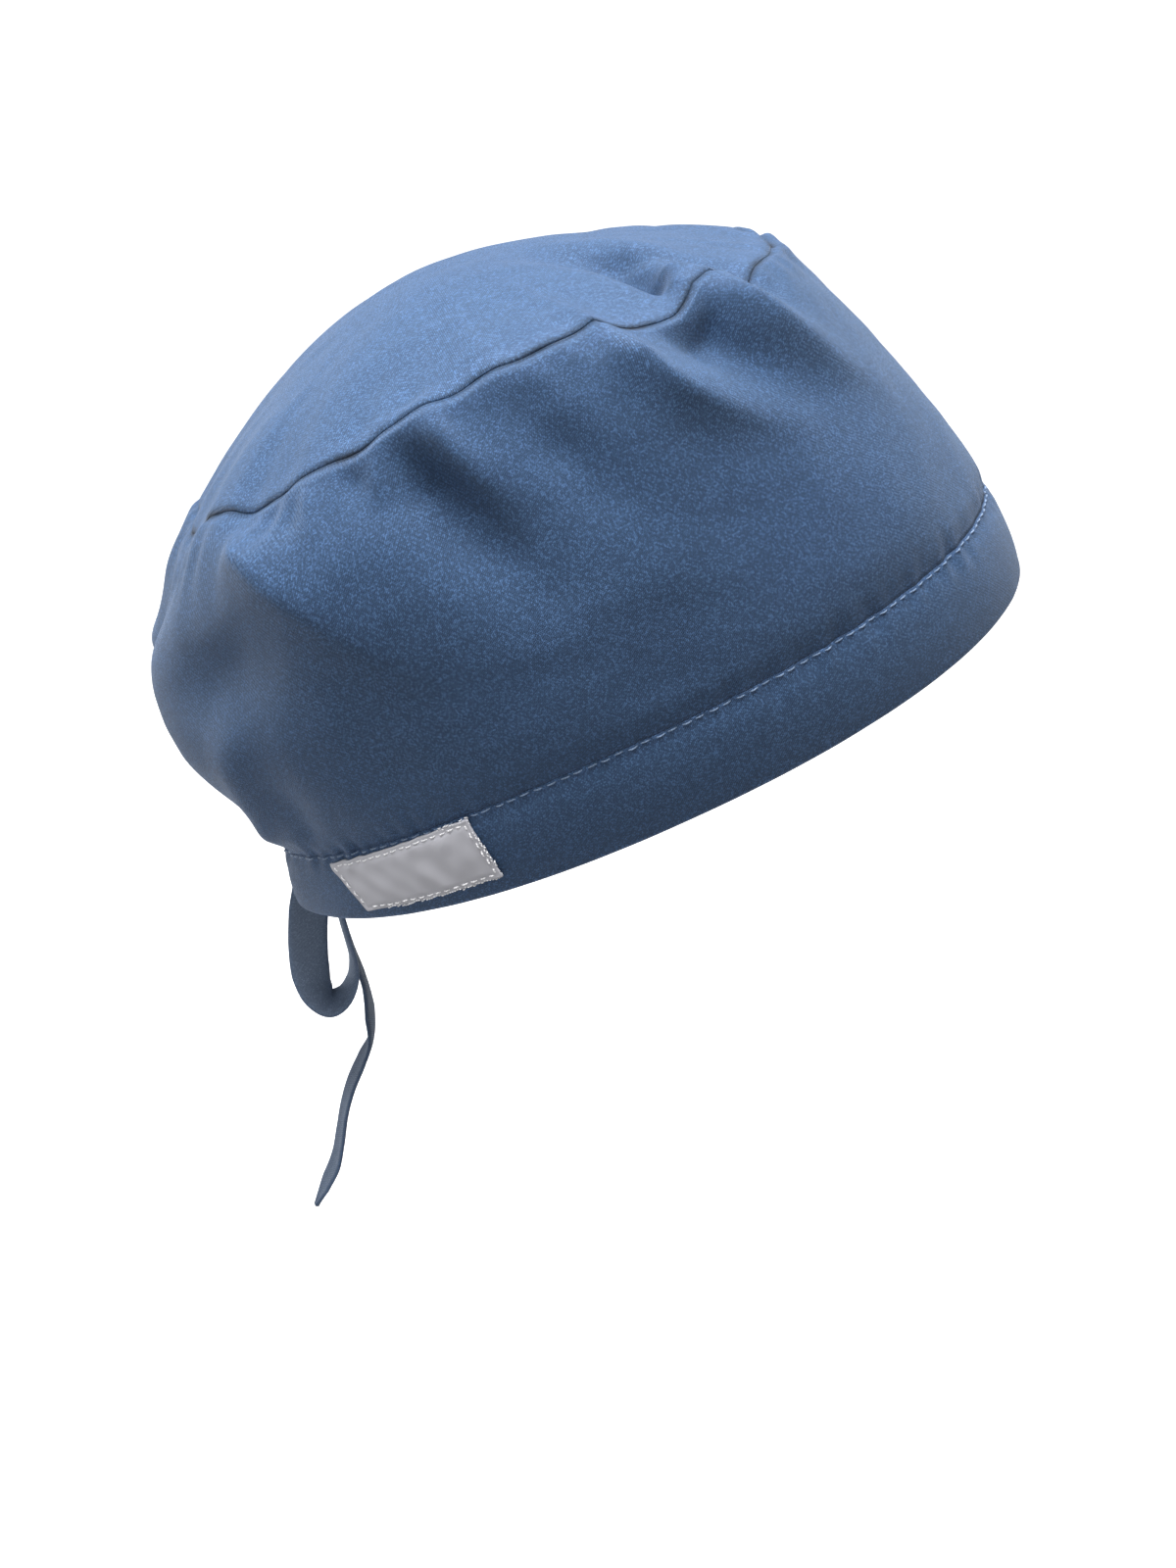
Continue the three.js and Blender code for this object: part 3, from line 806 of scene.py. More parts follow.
@dataclass(frozen=True)
class CapForm:
    """The cap's worn form, in the rim's own frame until it is tilted.

    Attributes:
        tilt: how far the rim rises from nape to forehead.
        squareness: 2 is an ellipse, more is squarer.
        wall_height: rim to crown seam, along the cloth at the side.
        hem_share: where the hem's topstitch runs.
        crown_rise: the dome above the seam.
        crown_edge: how square the dome's shoulder is.
        crown_lean: how much more the dome fills out towards the back.
        fall_edge: how soon the crown falls off to the lower parts of its seam.
        kink_crest: 2 is a round kink, less is a creased one.
        kink_ring: share of the way to the middle over which a seam kink dies out.
        roll_rise: how far the crown's edge rolls down to the seam.
        roll_ring: share of the way to the middle over which it rolls.
        roll_out: how far the roll overhangs the seam.
        seam_pinch: how far the gathers pull the side panel in at the seam.
        pinch_share: share of the wall over which they pull.
        stitch_dent: the groove that the topstitch pulls.
        dent_share: share of the wall over which it pulls.
        cleft_spread: half width of the cleft down the middle of the back.
        back_groove: the ditch along the seam down the middle of the back.
        groove_spread: half width of that ditch.
        nape_calm: half width of the stretch beside it where no fold reaches.
        seam_reach: typical distance of the seam from the middle.
        band_swell: how far the hem stands out between rim and topstitch.
        swell_share: share of the wall over which it does.
        rim_tuck: how far the rim curls in.
        tuck_share: share of the wall over which it does.
        calm_share: share below the seam, and beside it on the crown, where ripples die out.
        pucker_share: share of the wall over which gathers and puckers show.
        kink_share: share of the wall over which a seam kink dies out.
        ease_share: share of the wall over which the cloth slackens above the topstitch.
        hem_creases: how much of the creases is left on the hem.
        belly_share: where the cloth's length round the cap is measured.
        corner_share: where the side panel's direction at the crown seam is taken.
        corner_ring: share of the way in where the crown's is taken.
        gather_share: where the gathers are fullest.
        least_ring: ring inside which a crown dent gets no wider.
        fade_level: level beside the crown seam where the cloth is most faded.
        shade_mean: usual shade painted along the crown seam.
        shade_range: least and most painted shade along it.
        seam_shade: unevenness of the painted shade along the crown seam.
        wobble: unevenness of the crown seam's height.
        wrinkles: long low waves of slack cloth.
        creases: short ones.
        gathers: waves below the crown seam.
        puckers: waves along the topstitch.
    """

    tilt: float = 24.0
    squareness: float = 2.15
    wall_height: float = 0.112
    hem_share: float = 0.22
    crown_rise: float = 0.0178
    crown_edge: float = 2.0
    crown_lean: float = 0.003
    fall_edge: float = 1.58
    kink_ring: float = 0.26
    kink_crest: float = 1.6
    roll_rise: float = 0.0004
    roll_ring: float = 0.008
    roll_out: float = 0.0004
    seam_pinch: float = 0.0022
    pinch_share: float = 0.015
    stitch_dent: float = 0.001
    dent_share: float = 0.03
    cleft_spread: float = 9.0
    back_groove: float = 0.0009
    groove_spread: float = 1.3
    nape_calm: float = 3.0
    seam_reach: float = 0.08
    band_swell: float = 0.0005
    swell_share: float = 0.07
    rim_tuck: float = 0.0005
    tuck_share: float = 0.035
    calm_share: float = 0.06
    pucker_share: float = 0.05
    kink_share: float = 0.3
    ease_share: float = 0.1
    hem_creases: float = 0.4
    belly_share: float = 0.5
    corner_share: float = 0.97
    corner_ring: float = 0.08
    gather_share: float = 0.93
    least_ring: float = 0.2
    fade_level: float = 0.955
    shade_mean: float = 0.5
    shade_range: tuple[float, float] = (0.15, 0.85)
    seam_shade: Ripples = Ripples(19, 0.22, 12 * MM, 45 * MM)
    wobble: Ripples = Ripples(13, 0.5 * MM, 10 * MM, 30 * MM)
    wrinkles: Ripples = Ripples(3, 0.22 * MM, 26 * MM, 70 * MM)
    creases: Ripples = Ripples(5, 0.06 * MM, 8 * MM, 20 * MM)
    gathers: Ripples = Ripples(7, 0.25 * MM, 8 * MM, 20 * MM, slant=12.0)
    puckers: Ripples = Ripples(11, 0.22 * MM, 5 * MM, 11 * MM, slant=20.0)

    def section(self, column: str, share: Array) -> Array:
        """A column of the sections at a share of the wall, on a smooth curve through the rows."""
        shares = np.array([row.share for row in SECTIONS])
        values = np.array([getattr(row, column) for row in SECTIONS])
        last = len(SECTIONS) - 1
        ahead = np.minimum(np.arange(last + 1) + 1, last)
        behind = np.maximum(np.arange(last + 1) - 1, 0)
        slopes = (values[ahead] - values[behind]) / (shares[ahead] - shares[behind])
        k = np.clip(np.searchsorted(shares, share, side="right") - 1, 0, last - 1)
        step = shares[k + 1] - shares[k]
        u = np.clip((share - shares[k]) / step, 0.0, 1.0)
        start = (2 * u**3 - 3 * u**2 + 1) * values[k] + (u**3 - 2 * u**2 + u) * step * slopes[k]
        return start + (3 * u**2 - 2 * u**3) * values[k + 1] + (u**3 - u**2) * step * slopes[k + 1]

    def near_nape(self, around: Array, spread: float) -> Array:
        """1 at the middle of the back, dying out within spread degrees."""
        return hump(180.0 - np.abs(around), spread)

    def seam_lift(self, around: Array) -> Array:
        """How far the kinks lift the crown seam."""
        wobble = self.wobble.at(np.radians(around) * self.seam_reach, np.zeros_like(around))
        lift = wobble * (1.0 - self.near_nape(around, 2.0 * self.nape_calm))
        for kink in SEAM_KINKS:
            lift = lift + kink.lift * peak(around - kink.at, kink.spread, self.kink_crest)
        return lift

    def seam_painted_shade(self, around: Array) -> Array:
        """How much shade is painted into the crown seam, uneven along it."""
        uneven = self.seam_shade.at(np.radians(around) * self.seam_reach, np.zeros_like(around))
        return np.clip(self.shade_mean + uneven, *self.shade_range)

    def seam_wear_and_shade(self, around: Array, level: Array, fade: float, spread: float, ditch: float) -> Array:
        """How faded the cloth is beside the crown seam, and how much shade is painted into it.

        Args:
            around: angle round the cap.
            level: share of the wall, or ring of the crown, with the seam at 1.
            fade: strength of the fading.
            spread: half width of the fading.
            ditch: half width of the painted shade.

        Returns:
            Wear above 0, and below 0 the shade painted into the seam.
        """
        faded = fade * hump(self.fade_level - level, spread)
        return faded - self.seam_painted_shade(around) * hump(np.minimum(level - 1.0, 0.0), ditch)

    def smooth_wall(self, around: Array, share: Array) -> Array:
        """The wall before it is folded."""
        around, share = np.broadcast_arrays(np.asarray(around, float), np.asarray(share, float))
        c, s = np.cos(np.radians(around)), np.sin(np.radians(around))
        power = 2.0 / self.squareness
        reach = np.where(c > 0, self.section("front", share), self.section("back", share))
        side = self.section("high_side", share)
        high = side + (self.section("high_front", share) - side) * np.maximum(c, 0.0) ** 2
        high = high + (self.section("high_back", share) - side) * np.maximum(-c, 0.0) ** 2
        cleft = self.section("cleft", share) * self.near_nape(around, self.cleft_spread)
        x = reach * signed_power(c, power) + cleft
        y = self.section("half", share) * signed_power(s, power)
        z = high + self.seam_lift(around) * smooth((share - 1.0) / self.kink_share + 1.0)
        return np.stack([x, y, z], axis=-1)

    def wall_normal(self, around: Array, share: Array) -> Array:
        """The outward normal of the smooth wall."""
        held = np.clip(share, SHARE_STEP, 1.0 - SHARE_STEP)
        return normal_of(self.smooth_wall, around, held, TURN_STEP, SHARE_STEP)

    def cloth_across(self, around: Array) -> Array:
        """How far round the cloth an angle lies, measured at the belly from the front."""
        turns = np.linspace(-181.0, 181.0, 1449)
        belly = self.smooth_wall(turns, np.full_like(turns, self.belly_share))
        lengths = lengths_along(belly)
        return np.interp(around, turns, lengths - np.interp(0.0, turns, lengths))

    def wall_relief(self, around: Array, share: Array) -> Array:
        """How far the cloth stands out from the smooth wall, with its folds, gathers and puckers."""
        across = self.cloth_across(around)
        up = share * self.wall_height
        out = -self.seam_pinch * hump(1.0 - share, self.pinch_share)
        out = out - self.stitch_dent * hump(share - self.hem_share, self.dent_share)
        out = out + self.band_swell * hump(share - self.hem_share / 2.0, self.swell_share)
        out = out - self.rim_tuck * hump(share, self.tuck_share)
        out = out - self.back_groove * self.near_nape(around, self.groove_spread)
        slack = np.zeros_like(out)
        for fold in SEAM_FOLDS:
            slack = slack + fold_height(fold, around, (1.0 - share) / fold.reach, fold.spread)
        for fold in HEM_FOLDS:
            slack = slack + fold_height(fold, around, (share - self.hem_share) / fold.reach, fold.spread)
        for bulge in BULGES:
            beside = hump(around - bulge.at, bulge.spread)
            slack = slack + bulge.depth * beside * hump(share - bulge.share, bulge.tall)
        above = smooth((share - self.hem_share) / self.ease_share)
        slack = slack + above * self.wrinkles.at(across, up) * (1.0 - hump(1.0 - share, self.calm_share))
        slack = slack + (self.hem_creases + (1.0 - self.hem_creases) * above) * self.creases.at(across, up)
        slack = slack + self.gathers.at(across, up) * hump(self.gather_share - share, self.pucker_share)
        slack = slack + self.puckers.at(across, up) * hump(share - self.hem_share, self.pucker_share)
        return out + slack * (1.0 - self.near_nape(around, self.nape_calm))

    def wall_face(self, around: Array, share: Array) -> Array:
        """The outer face of the wall. Above share 1 it turns in along the seam."""
        around, share = np.broadcast_arrays(np.asarray(around, float), np.asarray(share, float))
        held = np.clip(share, 0.0, 1.0)
        face = self.smooth_wall(around, held)
        face = face + self.wall_normal(around, held) * self.wall_relief(around, held)[..., None]
        tuck = np.maximum(share - 1.0, 0.0) * self.wall_height
        if not np.any(tuck > 0.0):
            return face
        return face - self.seam_normal(around) * tuck[..., None]

    def crown_face(self, around: Array, ring: Array) -> Array:
        """The outer face of the crown, from ring 1 at the seam to 0 at the middle."""
        around, ring = np.broadcast_arrays(np.asarray(around, float), np.asarray(ring, float))
        edge = self.smooth_wall(around, np.ones_like(around))
        edge = edge - self.seam_pinch * self.wall_normal(around, np.ones_like(around))
        seam = SECTIONS[-1]
        middle = (seam.front - seam.back) / 2.0
        lift = self.seam_lift(around)
        leant = -self.crown_lean * np.cos(np.radians(around)) * ring * (1.0 - ring**2)
        dome = self.crown_rise * (1.0 - ring**self.crown_edge) + leant
        dome = dome + self.roll_rise * (1.0 - hump(1.0 - ring, self.roll_ring))
        for dent in CROWN_DENTS:
            spread = dent.spread / np.maximum(ring, self.least_ring)
            dome = dome + fold_height(dent, around, (1.0 - ring) / dent.reach, spread)
        out = ring * (1.0 + self.roll_out / seam.half * (1.0 - hump(1.0 - ring, self.roll_ring)))
        x = middle + (edge[..., 0] - middle) * out
        y = edge[..., 1] * out
        ripples = self.wrinkles.at(x, y) + self.creases.at(x, y)
        dome = dome + ripples * (1.0 - hump(1.0 - ring, self.calm_share))
        fall = (edge[..., 2] - lift - seam.high_side) * ring**self.fall_edge
        fall = fall + lift * hump(1.0 - ring, self.kink_ring)
        return np.stack([x, y, seam.high_side + fall + dome], axis=-1)

    def crown_inward(self, around: Array, inward: Array) -> Array:
        """The outer face of the crown by the share of the way in from the seam."""
        return self.crown_face(around, 1.0 - inward)

    def seam_normal(self, around: Array) -> Array:
        """The direction that halves the corner between crown and side panel."""
        inward = np.full_like(around, self.corner_ring)
        step = 2.0 * SHARE_STEP
        crown = normal_of(self.crown_inward, around, inward, TURN_STEP, step)
        return unit(crown + self.wall_normal(around, np.full_like(around, self.corner_share)))

    def worn(self, points: Array) -> Array:
        """Points of the rim's frame, tilted as the cap is worn."""
        c, s = math.cos(math.radians(self.tilt)), math.sin(math.radians(self.tilt))
        x, y, z = np.moveaxis(points, -1, 0)
        return np.stack([x * c - z * s, y, x * s + z * c], axis=-1)


# Meshes


@dataclass
class SheetMesh:
    """A thin closed solid from two grids of points, its face and its back.

    Attributes:
        face: outer points, rows by columns by 3, so that row x column looks outwards.
        back: inner points in the same order.
        cloth: place of each point on the flat cloth, in metres.
        wear_and_shade: how faded each point is, from 0 to 1, or below 0 how much shade is painted in a ditch.
    """

    face: Array
    back: Array
    cloth: Array
    wear_and_shade: Array

    def points(self) -> Array:
        """All points, face first."""
        return np.concatenate([self.face.reshape(-1, 3), self.back.reshape(-1, 3)])

    def quads(self) -> Array:
        """The faces: both layers and the four edges between them."""
        rows, columns = self.face.shape[:2]
        index = np.arange(rows * columns).reshape(rows, columns)
        inner = rows * columns
        a, b, c, d = index[:-1, :-1], index[1:, :-1], index[1:, 1:], index[:-1, 1:]
        outside = np.stack([a, b, c, d], axis=-1).reshape(-1, 4)
        inside = outside[:, ::-1] + inner
        border = np.concatenate([index[0, :-1], index[:-1, -1], index[-1, :0:-1], index[:0:-1, 0]])
        following = np.roll(border, -1)
        edge = np.stack([border, following, following + inner, border + inner], axis=-1)
        return np.concatenate([outside, inside, edge])

    def build(self, name: str) -> bpy.types.Object:
        """Adds the solid to the scene.

        Args:
            name: the piece's name.

        Returns:
            The new object, smooth shaded, with its cloth and wear maps.
        """
        cloth = np.concatenate([self.cloth.reshape(-1, 2)] * 2)
        wear_and_shade = np.concatenate([self.wear_and_shade.reshape(-1)] * 2)
        return add_piece(name, self.points(), self.quads().tolist(), cloth, wear_and_shade)


def tube_faces(rings: int, sides: int, first: int = 0) -> Faces:
    """The faces of a closed tube.

    Args:
        rings: rings along it.
        sides: points of a ring.
        first: number of its first point.

    Returns:
        A row of point numbers for each face, with the two ends last.
    """
    index = first + np.arange(rings * sides).reshape(rings, sides)
    after = np.roll(index, -1, axis=1)
    around = np.stack([index[:-1], after[:-1], after[1:], index[1:]], axis=-1)
    return [*around.reshape(-1, 4).tolist(), index[0, ::-1].tolist(), index[-1].tolist()]


def add_piece(name: str, points: Array, faces: Faces, cloth: Array, wear_and_shade: Array) -> bpy.types.Object:
    """Adds a smooth mesh with a cloth map and a wear map.

    Args:
        name: the piece's name.
        points: its points.
        faces: its faces, as rows of point numbers.
        cloth: a place on the flat cloth for each point.
        wear_and_shade: how faded each point is, or below 0 how much shade is painted in.

    Returns:
        The new object.
    """
    mesh = bpy.data.meshes.new(name)
    mesh.from_pydata(points.tolist(), [], faces)
    mesh.polygons.foreach_set("use_smooth", np.ones(len(mesh.polygons), bool))
    corners = np.empty(len(mesh.loops), np.int32)
    mesh.loops.foreach_get("vertex_index", corners)
    layer = mesh.uv_layers.new(name=CLOTH_MAP)
    layer.data.foreach_set("uv", cloth[corners].astype(np.float32).ravel())
    fade = mesh.attributes.new(WEAR_AND_SHADE_MAP, "FLOAT", "POINT")
    fade.data.foreach_set("value", wear_and_shade.astype(np.float32))
    mesh.validate()
    mesh.update()
    piece = bpy.data.objects.new(name, mesh)
    bpy.context.scene.collection.objects.link(piece)
    return piece


def clothe(piece: bpy.types.Object, finish: Finish, slot: str, *nodes: str) -> bpy.types.Object:
    """Gives a piece its finish and its place in the frame.

    Args:
        piece: the new piece.
        finish: its finish.
        slot: the record's material slot.
        nodes: the solids that it stands for.

    Returns:
        The same piece.
    """
    material = bpy.data.materials.get(finish.name) or finish.material()
    piece.data.materials.append(material)
    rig.ride(piece, BODY)
    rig.slot(piece, slot)
    if nodes:
        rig.replaces(piece, *nodes)
    LOG.info("%s: %d faces", piece.name, len(piece.data.polygons))
    return piece


def grid_normals(face: Array) -> Array:
    """The outward normals of a grid of points."""
    return unit(np.cross(np.gradient(face, axis=0), np.gradient(face, axis=1)))


@dataclass(frozen=True)
class Stitching:
    """A run of stitches along a line.

    Attributes:
        length: one stitch.
        pitch: from one stitch to the next.
        radius: of the thread.
        sway: how far stitches stray to either side.
        seed: picks their unevenness.
        taper: how far the thread is past its very tip at a stitch's ends.
        arch: how far a stitch rises in its middle, in radii.
        bite: how far its ends sink into the cloth, in radii.
        uneven: how far a stitch may start early or late, as a share of the pitch.
        stretch: shortest and longest stitch beside the usual length.
        skew: how far a stitch may turn, beside its sway.
        sides: points round the thread.
        rings: rings along a stitch.
    """

    length: float
    pitch: float
    radius: float
    sway: float
    seed: int
    taper: float = 0.12
    arch: float = 2.1
    bite: float = 0.9
    uneven: float = 0.06
    stretch: tuple[float, float] = (0.92, 1.05)
    skew: float = 0.7
    sides: int = 8
    rings: int = 7

    def build(self, name: str, line: Array, normals: Array) -> bpy.types.Object:
        """Lays stitches along a line on the cloth.

        Args:
            name: the piece's name.
            line: close points of the line.
            normals: the cloth's outward normal at each of them.

        Returns:
            One mesh of all the stitches.
        """
        gone = lengths_along(line)
        draw = np.random.default_rng(self.seed)
        starts = np.arange(self.pitch / 2, gone[-1] - self.length, self.pitch)
        turns = np.linspace(0.0, 2.0 * math.pi, self.sides, endpoint=False)
        run = np.linspace(0.0, 1.0, self.rings)
        girth = np.sqrt(np.sin(math.pi * (self.taper + (1.0 - 2.0 * self.taper) * run)))
        rise = self.radius * (self.arch * np.sin(math.pi * run) - self.bite)
        points, faces, cloth = [], [], []
        for start in starts + draw.uniform(-self.uneven, self.uneven, len(starts)) * self.pitch:
            places = start + run * self.length * draw.uniform(*self.stretch)
            middle = np.stack([np.interp(places, gone, line[:, k]) for k in range(3)], axis=-1)
            out = unit(np.stack([np.interp(places, gone, normals[:, k]) for k in range(3)], axis=-1))
            ahead = unit(np.gradient(middle, axis=0))
            aside = np.cross(out, ahead)
            shift = draw.uniform(-1, 1)
            stray = self.sway * (shift + draw.uniform(-self.skew, self.skew) * (run - 0.5))
            middle = middle + out * rise[:, None] + aside * stray[:, None]
            reach = self.radius * girth[:, None, None]
            spoke = np.cos(turns)[:, None] * aside[:, None] + np.sin(turns)[:, None] * out[:, None]
            faces += tube_faces(self.rings, self.sides, len(points) * self.rings * self.sides)
            points.append((middle[:, None] + reach * spoke).reshape(-1, 3))
            place = np.broadcast_arrays(places[:, None], turns / (2.0 * math.pi))
            cloth.append(np.stack(place, axis=-1).reshape(-1, 2))
        stacked = np.concatenate(points)
        return add_piece(name, stacked, faces, np.concatenate(cloth), np.zeros(len(stacked)))


# Sub-assemblies


@dataclass
class CrownPanel:
    """The oval top of the cap, a dome of one layer of cloth turned in at its seam.

    Attributes:
        form: the cap's form.
        cloth: thickness of the cloth.
        clear: gap above the side panel.
        tuck: width of the turned-in edge.
        tuck_rings: rings of the grid along it.
        half_grid: rings of the grid in all.
        crowding: above 1 the rings are closer together towards the seam.
        ring_step: small step that the dome's direction is measured over.
        last_ring: outermost ring where the dome's own direction is taken.
        mitre_ring: share of the way in over which the cloth turns to the seam's direction.
        turned_in: thickness of the turned-in edge beside the cloth's.
        fade: strength and half width of the wear beside the seam, and half width of the shade painted into it.
        cut: the flat oval's length and width.
    """

    form: CapForm
    cloth: float = 1.0 * MM
    clear: float = 0.12 * MM
    tuck: float = 3.0 * MM
    tuck_rings: int = 4
    half_grid: int = 92
    crowding: float = 1.15
    ring_step: float = 0.004
    last_ring: float = 0.995
    mitre_ring: float = 0.04
    turned_in: float = 0.4
    fade: tuple[float, float, float] = (0.25, 0.02, 0.013)
    cut: tuple[float, float] = (0.158, 0.172)

    def ring_places(self) -> Array:
        """The ring of each square of the grid, from the middle to the turned-in edge."""
        inner = self.half_grid - self.tuck_rings
        even = (np.arange(inner) + 0.5) / (inner - 0.5)
        rings = 1.0 - (1.0 - even) ** self.crowding
        return np.concatenate([rings, 1.0 + np.arange(1, self.tuck_rings + 1) / self.tuck_rings])

    def face(self, around: Array, ring: Array) -> Array:
        """The outer face, which turns in past ring 1."""
        held = np.minimum(ring, 1.0)
        points = self.form.crown_face(around, held)
        points = points + np.array([0.0, 0.0, self.clear])
        inward = np.maximum(ring - 1.0, 0.0) * self.tuck
        return points - self.form.seam_normal(around) * inward[..., None]

    def cloth_places(self, around: Array, ring: Array) -> Array:
        """Places on the flat cloth, measured out from the middle along the dome."""
        turns = np.linspace(-180.0, 180.0, 73)
        # Rings closer together where the cloth rolls over the seam and turns in
        rings = np.concatenate([np.linspace(0.0, 0.95, 20), np.linspace(0.955, 2.0, 60)])
        profile = self.face(*np.meshgrid(turns, rings, indexing="ij"))
        steps = np.diff(profile, axis=1, prepend=profile[:, :1])
        gone = np.cumsum(np.linalg.norm(steps, axis=2), axis=1)
        per_turn = np.stack([np.interp(ring, rings, row) for row in gone])
        place = (around + 180.0) / (turns[1] - turns[0])
        low = np.minimum(place.astype(int), len(turns) - 2)
        share = place - low
        rows, columns = np.indices(ring.shape)
        reach = per_turn[low, rows, columns] * (1.0 - share) + per_turn[low + 1, rows, columns] * share
        angle = np.radians(around)
        return np.stack([reach * np.cos(angle), reach * np.sin(angle)], axis=-1)

    def build(self) -> bpy.types.Object:
        """Builds the dome on a square grid wrapped into rings, so that it has no pole."""
        steps = np.arange(2 * self.half_grid) - self.half_grid + 0.5
        across, along = np.meshgrid(steps, steps, indexing="ij")
        level = np.maximum(np.abs(across), np.abs(along))
        around = np.degrees(np.arctan2(along, across))
        ring = self.ring_places()[(level - 0.5).astype(int)]
        face = self.face(around, ring)
        inward = 1.0 - np.minimum(ring, self.last_ring)
        normal = normal_of(self.form.crown_inward, around, inward, TURN_STEP, self.ring_step)
        turned = smooth((ring - 1.0) / self.mitre_ring + 1.0)[..., None]
        normal = unit(normal * (1.0 - turned) + self.form.seam_normal(around) * turned)
        back = face - normal * self.cloth * np.where(ring > 1.0, self.turned_in, 1.0)[..., None]
        # Faded beside the seam, with painted shade in the seam itself.
        wear_and_shade = self.form.seam_wear_and_shade(around, ring, *self.fade)
        cloth = self.cloth_places(around, ring)
        sheet = SheetMesh(self.form.worn(face), self.form.worn(back), cloth, wear_and_shade)
        return sheet.build("crown_cloth")

    def dress(self) -> None:
        """Builds the panel, clothes it and declares its flat size."""
        dome = clothe(self.build(), CAP_CLOTH, "cap_cloth", "crown_panel")
        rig.sheet(dome, flat=self.cut, held="stretched", area=self.cut[0] * self.cut[1] * math.pi / 4)


@dataclass
class SidePanel:
    """The strip of cloth between hem and crown, gathered at its top, seamed at the nape.

    Attributes:
        form: the cap's form.
        nape_point: share by which it reaches down into the band's opening.
        nape_spread: half width of that point.
        nape_crest: how square the point is.
        nape_rise: share of the wall over which it dies out.
        cloth: thickness of the cloth.
        columns: columns of the grid.
        rows: rows of the grid.
        hem_gap: share left free above the band.
        crowding: above 1 the rows are closer together towards the seam.
        tuck: width of the turned-in edge.
        tuck_rows: where along it its rows lie.
        mitre_share: share of the wall over which the cloth turns to the seam's direction.
        turned_in: thickness of the turned-in edge beside the cloth's.
        fade: strength and half width of the wear beside the crown seam, and half width of the shade painted into it.
        hem_fade: strength and half width of the wear at the topstitch.
        nape_shade: strength and half width of the shade painted into the back seam.
        cut: the flat strip's length and width.
    """

    form: CapForm
    nape_point: float = 0.05
    nape_spread: float = 2.9
    nape_crest: float = 6.0
    nape_rise: float = 0.15
    cloth: float = 1.0 * MM
    columns: int = 470
    rows: int = 88
    hem_gap: float = 0.0004
    crowding: float = 1.2
    tuck: float = 3.0 * MM
    tuck_rows: tuple[float, ...] = (0.3, 0.65, 1.0)
    mitre_share: float = 0.03
    turned_in: float = 0.4
    fade: tuple[float, float, float] = (0.3, 0.012, 0.010)
    hem_fade: tuple[float, float] = (0.4, 0.012)
    nape_shade: tuple[float, float] = (0.5, 0.5)
    cut: tuple[float, float] = (0.585, 0.098)

    def shares(self) -> Array:
        """The rows' shares of the wall, the turned-in edge last."""
        bottom = self.form.hem_share + self.hem_gap
        even = np.linspace(0.0, 1.0, self.rows)
        rows = bottom + (1.0 - bottom) * (1.0 - (1.0 - even) ** self.crowding)
        edge = 1.0 + np.array(self.tuck_rows) * self.tuck / self.form.wall_height
        return np.concatenate([rows, edge])

    def build(self) -> bpy.types.Object:
        """Builds the panel from the nape round to the nape again."""
        turns = np.linspace(-180.0, 180.0, self.columns)
        around, share = np.meshgrid(turns, self.shares(), indexing="ij")
        low = smooth(1.0 - (share - self.form.hem_share) / self.nape_rise)
        point = peak(180.0 - np.abs(around), self.nape_spread, self.nape_crest)
        share = share - self.nape_point * point * low
        face = self.form.wall_face(around, share)
        normal = grid_normals(face)
        turned = smooth((share - 1.0) / self.mitre_share + 1.0)[..., None]
        normal = unit(normal * (1.0 - turned) + self.form.seam_normal(around) * turned)
        back = face - normal * self.cloth * np.where(share > 1.0, self.turned_in, 1.0)[..., None]
        fade, spread = self.hem_fade
        shade, ditch = self.nape_shade
        # Faded beside the crown seam, with painted shade in the seam itself.
        wear_and_shade = self.form.seam_wear_and_shade(around, share, *self.fade)
        wear_and_shade = wear_and_shade + fade * hump(share - self.form.hem_share, spread)
        # Painted shade down the back seam.
        wear_and_shade = wear_and_shade - shade * self.form.near_nape(around, ditch)
        cloth = np.stack([self.form.cloth_across(around), share * self.form.wall_height], axis=-1)
        return SheetMesh(self.form.worn(face), self.form.worn(back), cloth, wear_and_shade).build("side_cloth")

    def dress(self) -> None:
        """Builds the panel, clothes it and declares its flat size."""
        wall = clothe(self.build(), CAP_CLOTH, "cap_cloth", "side_panel")
        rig.sheet(wall, flat=self.cut, held="gathered")


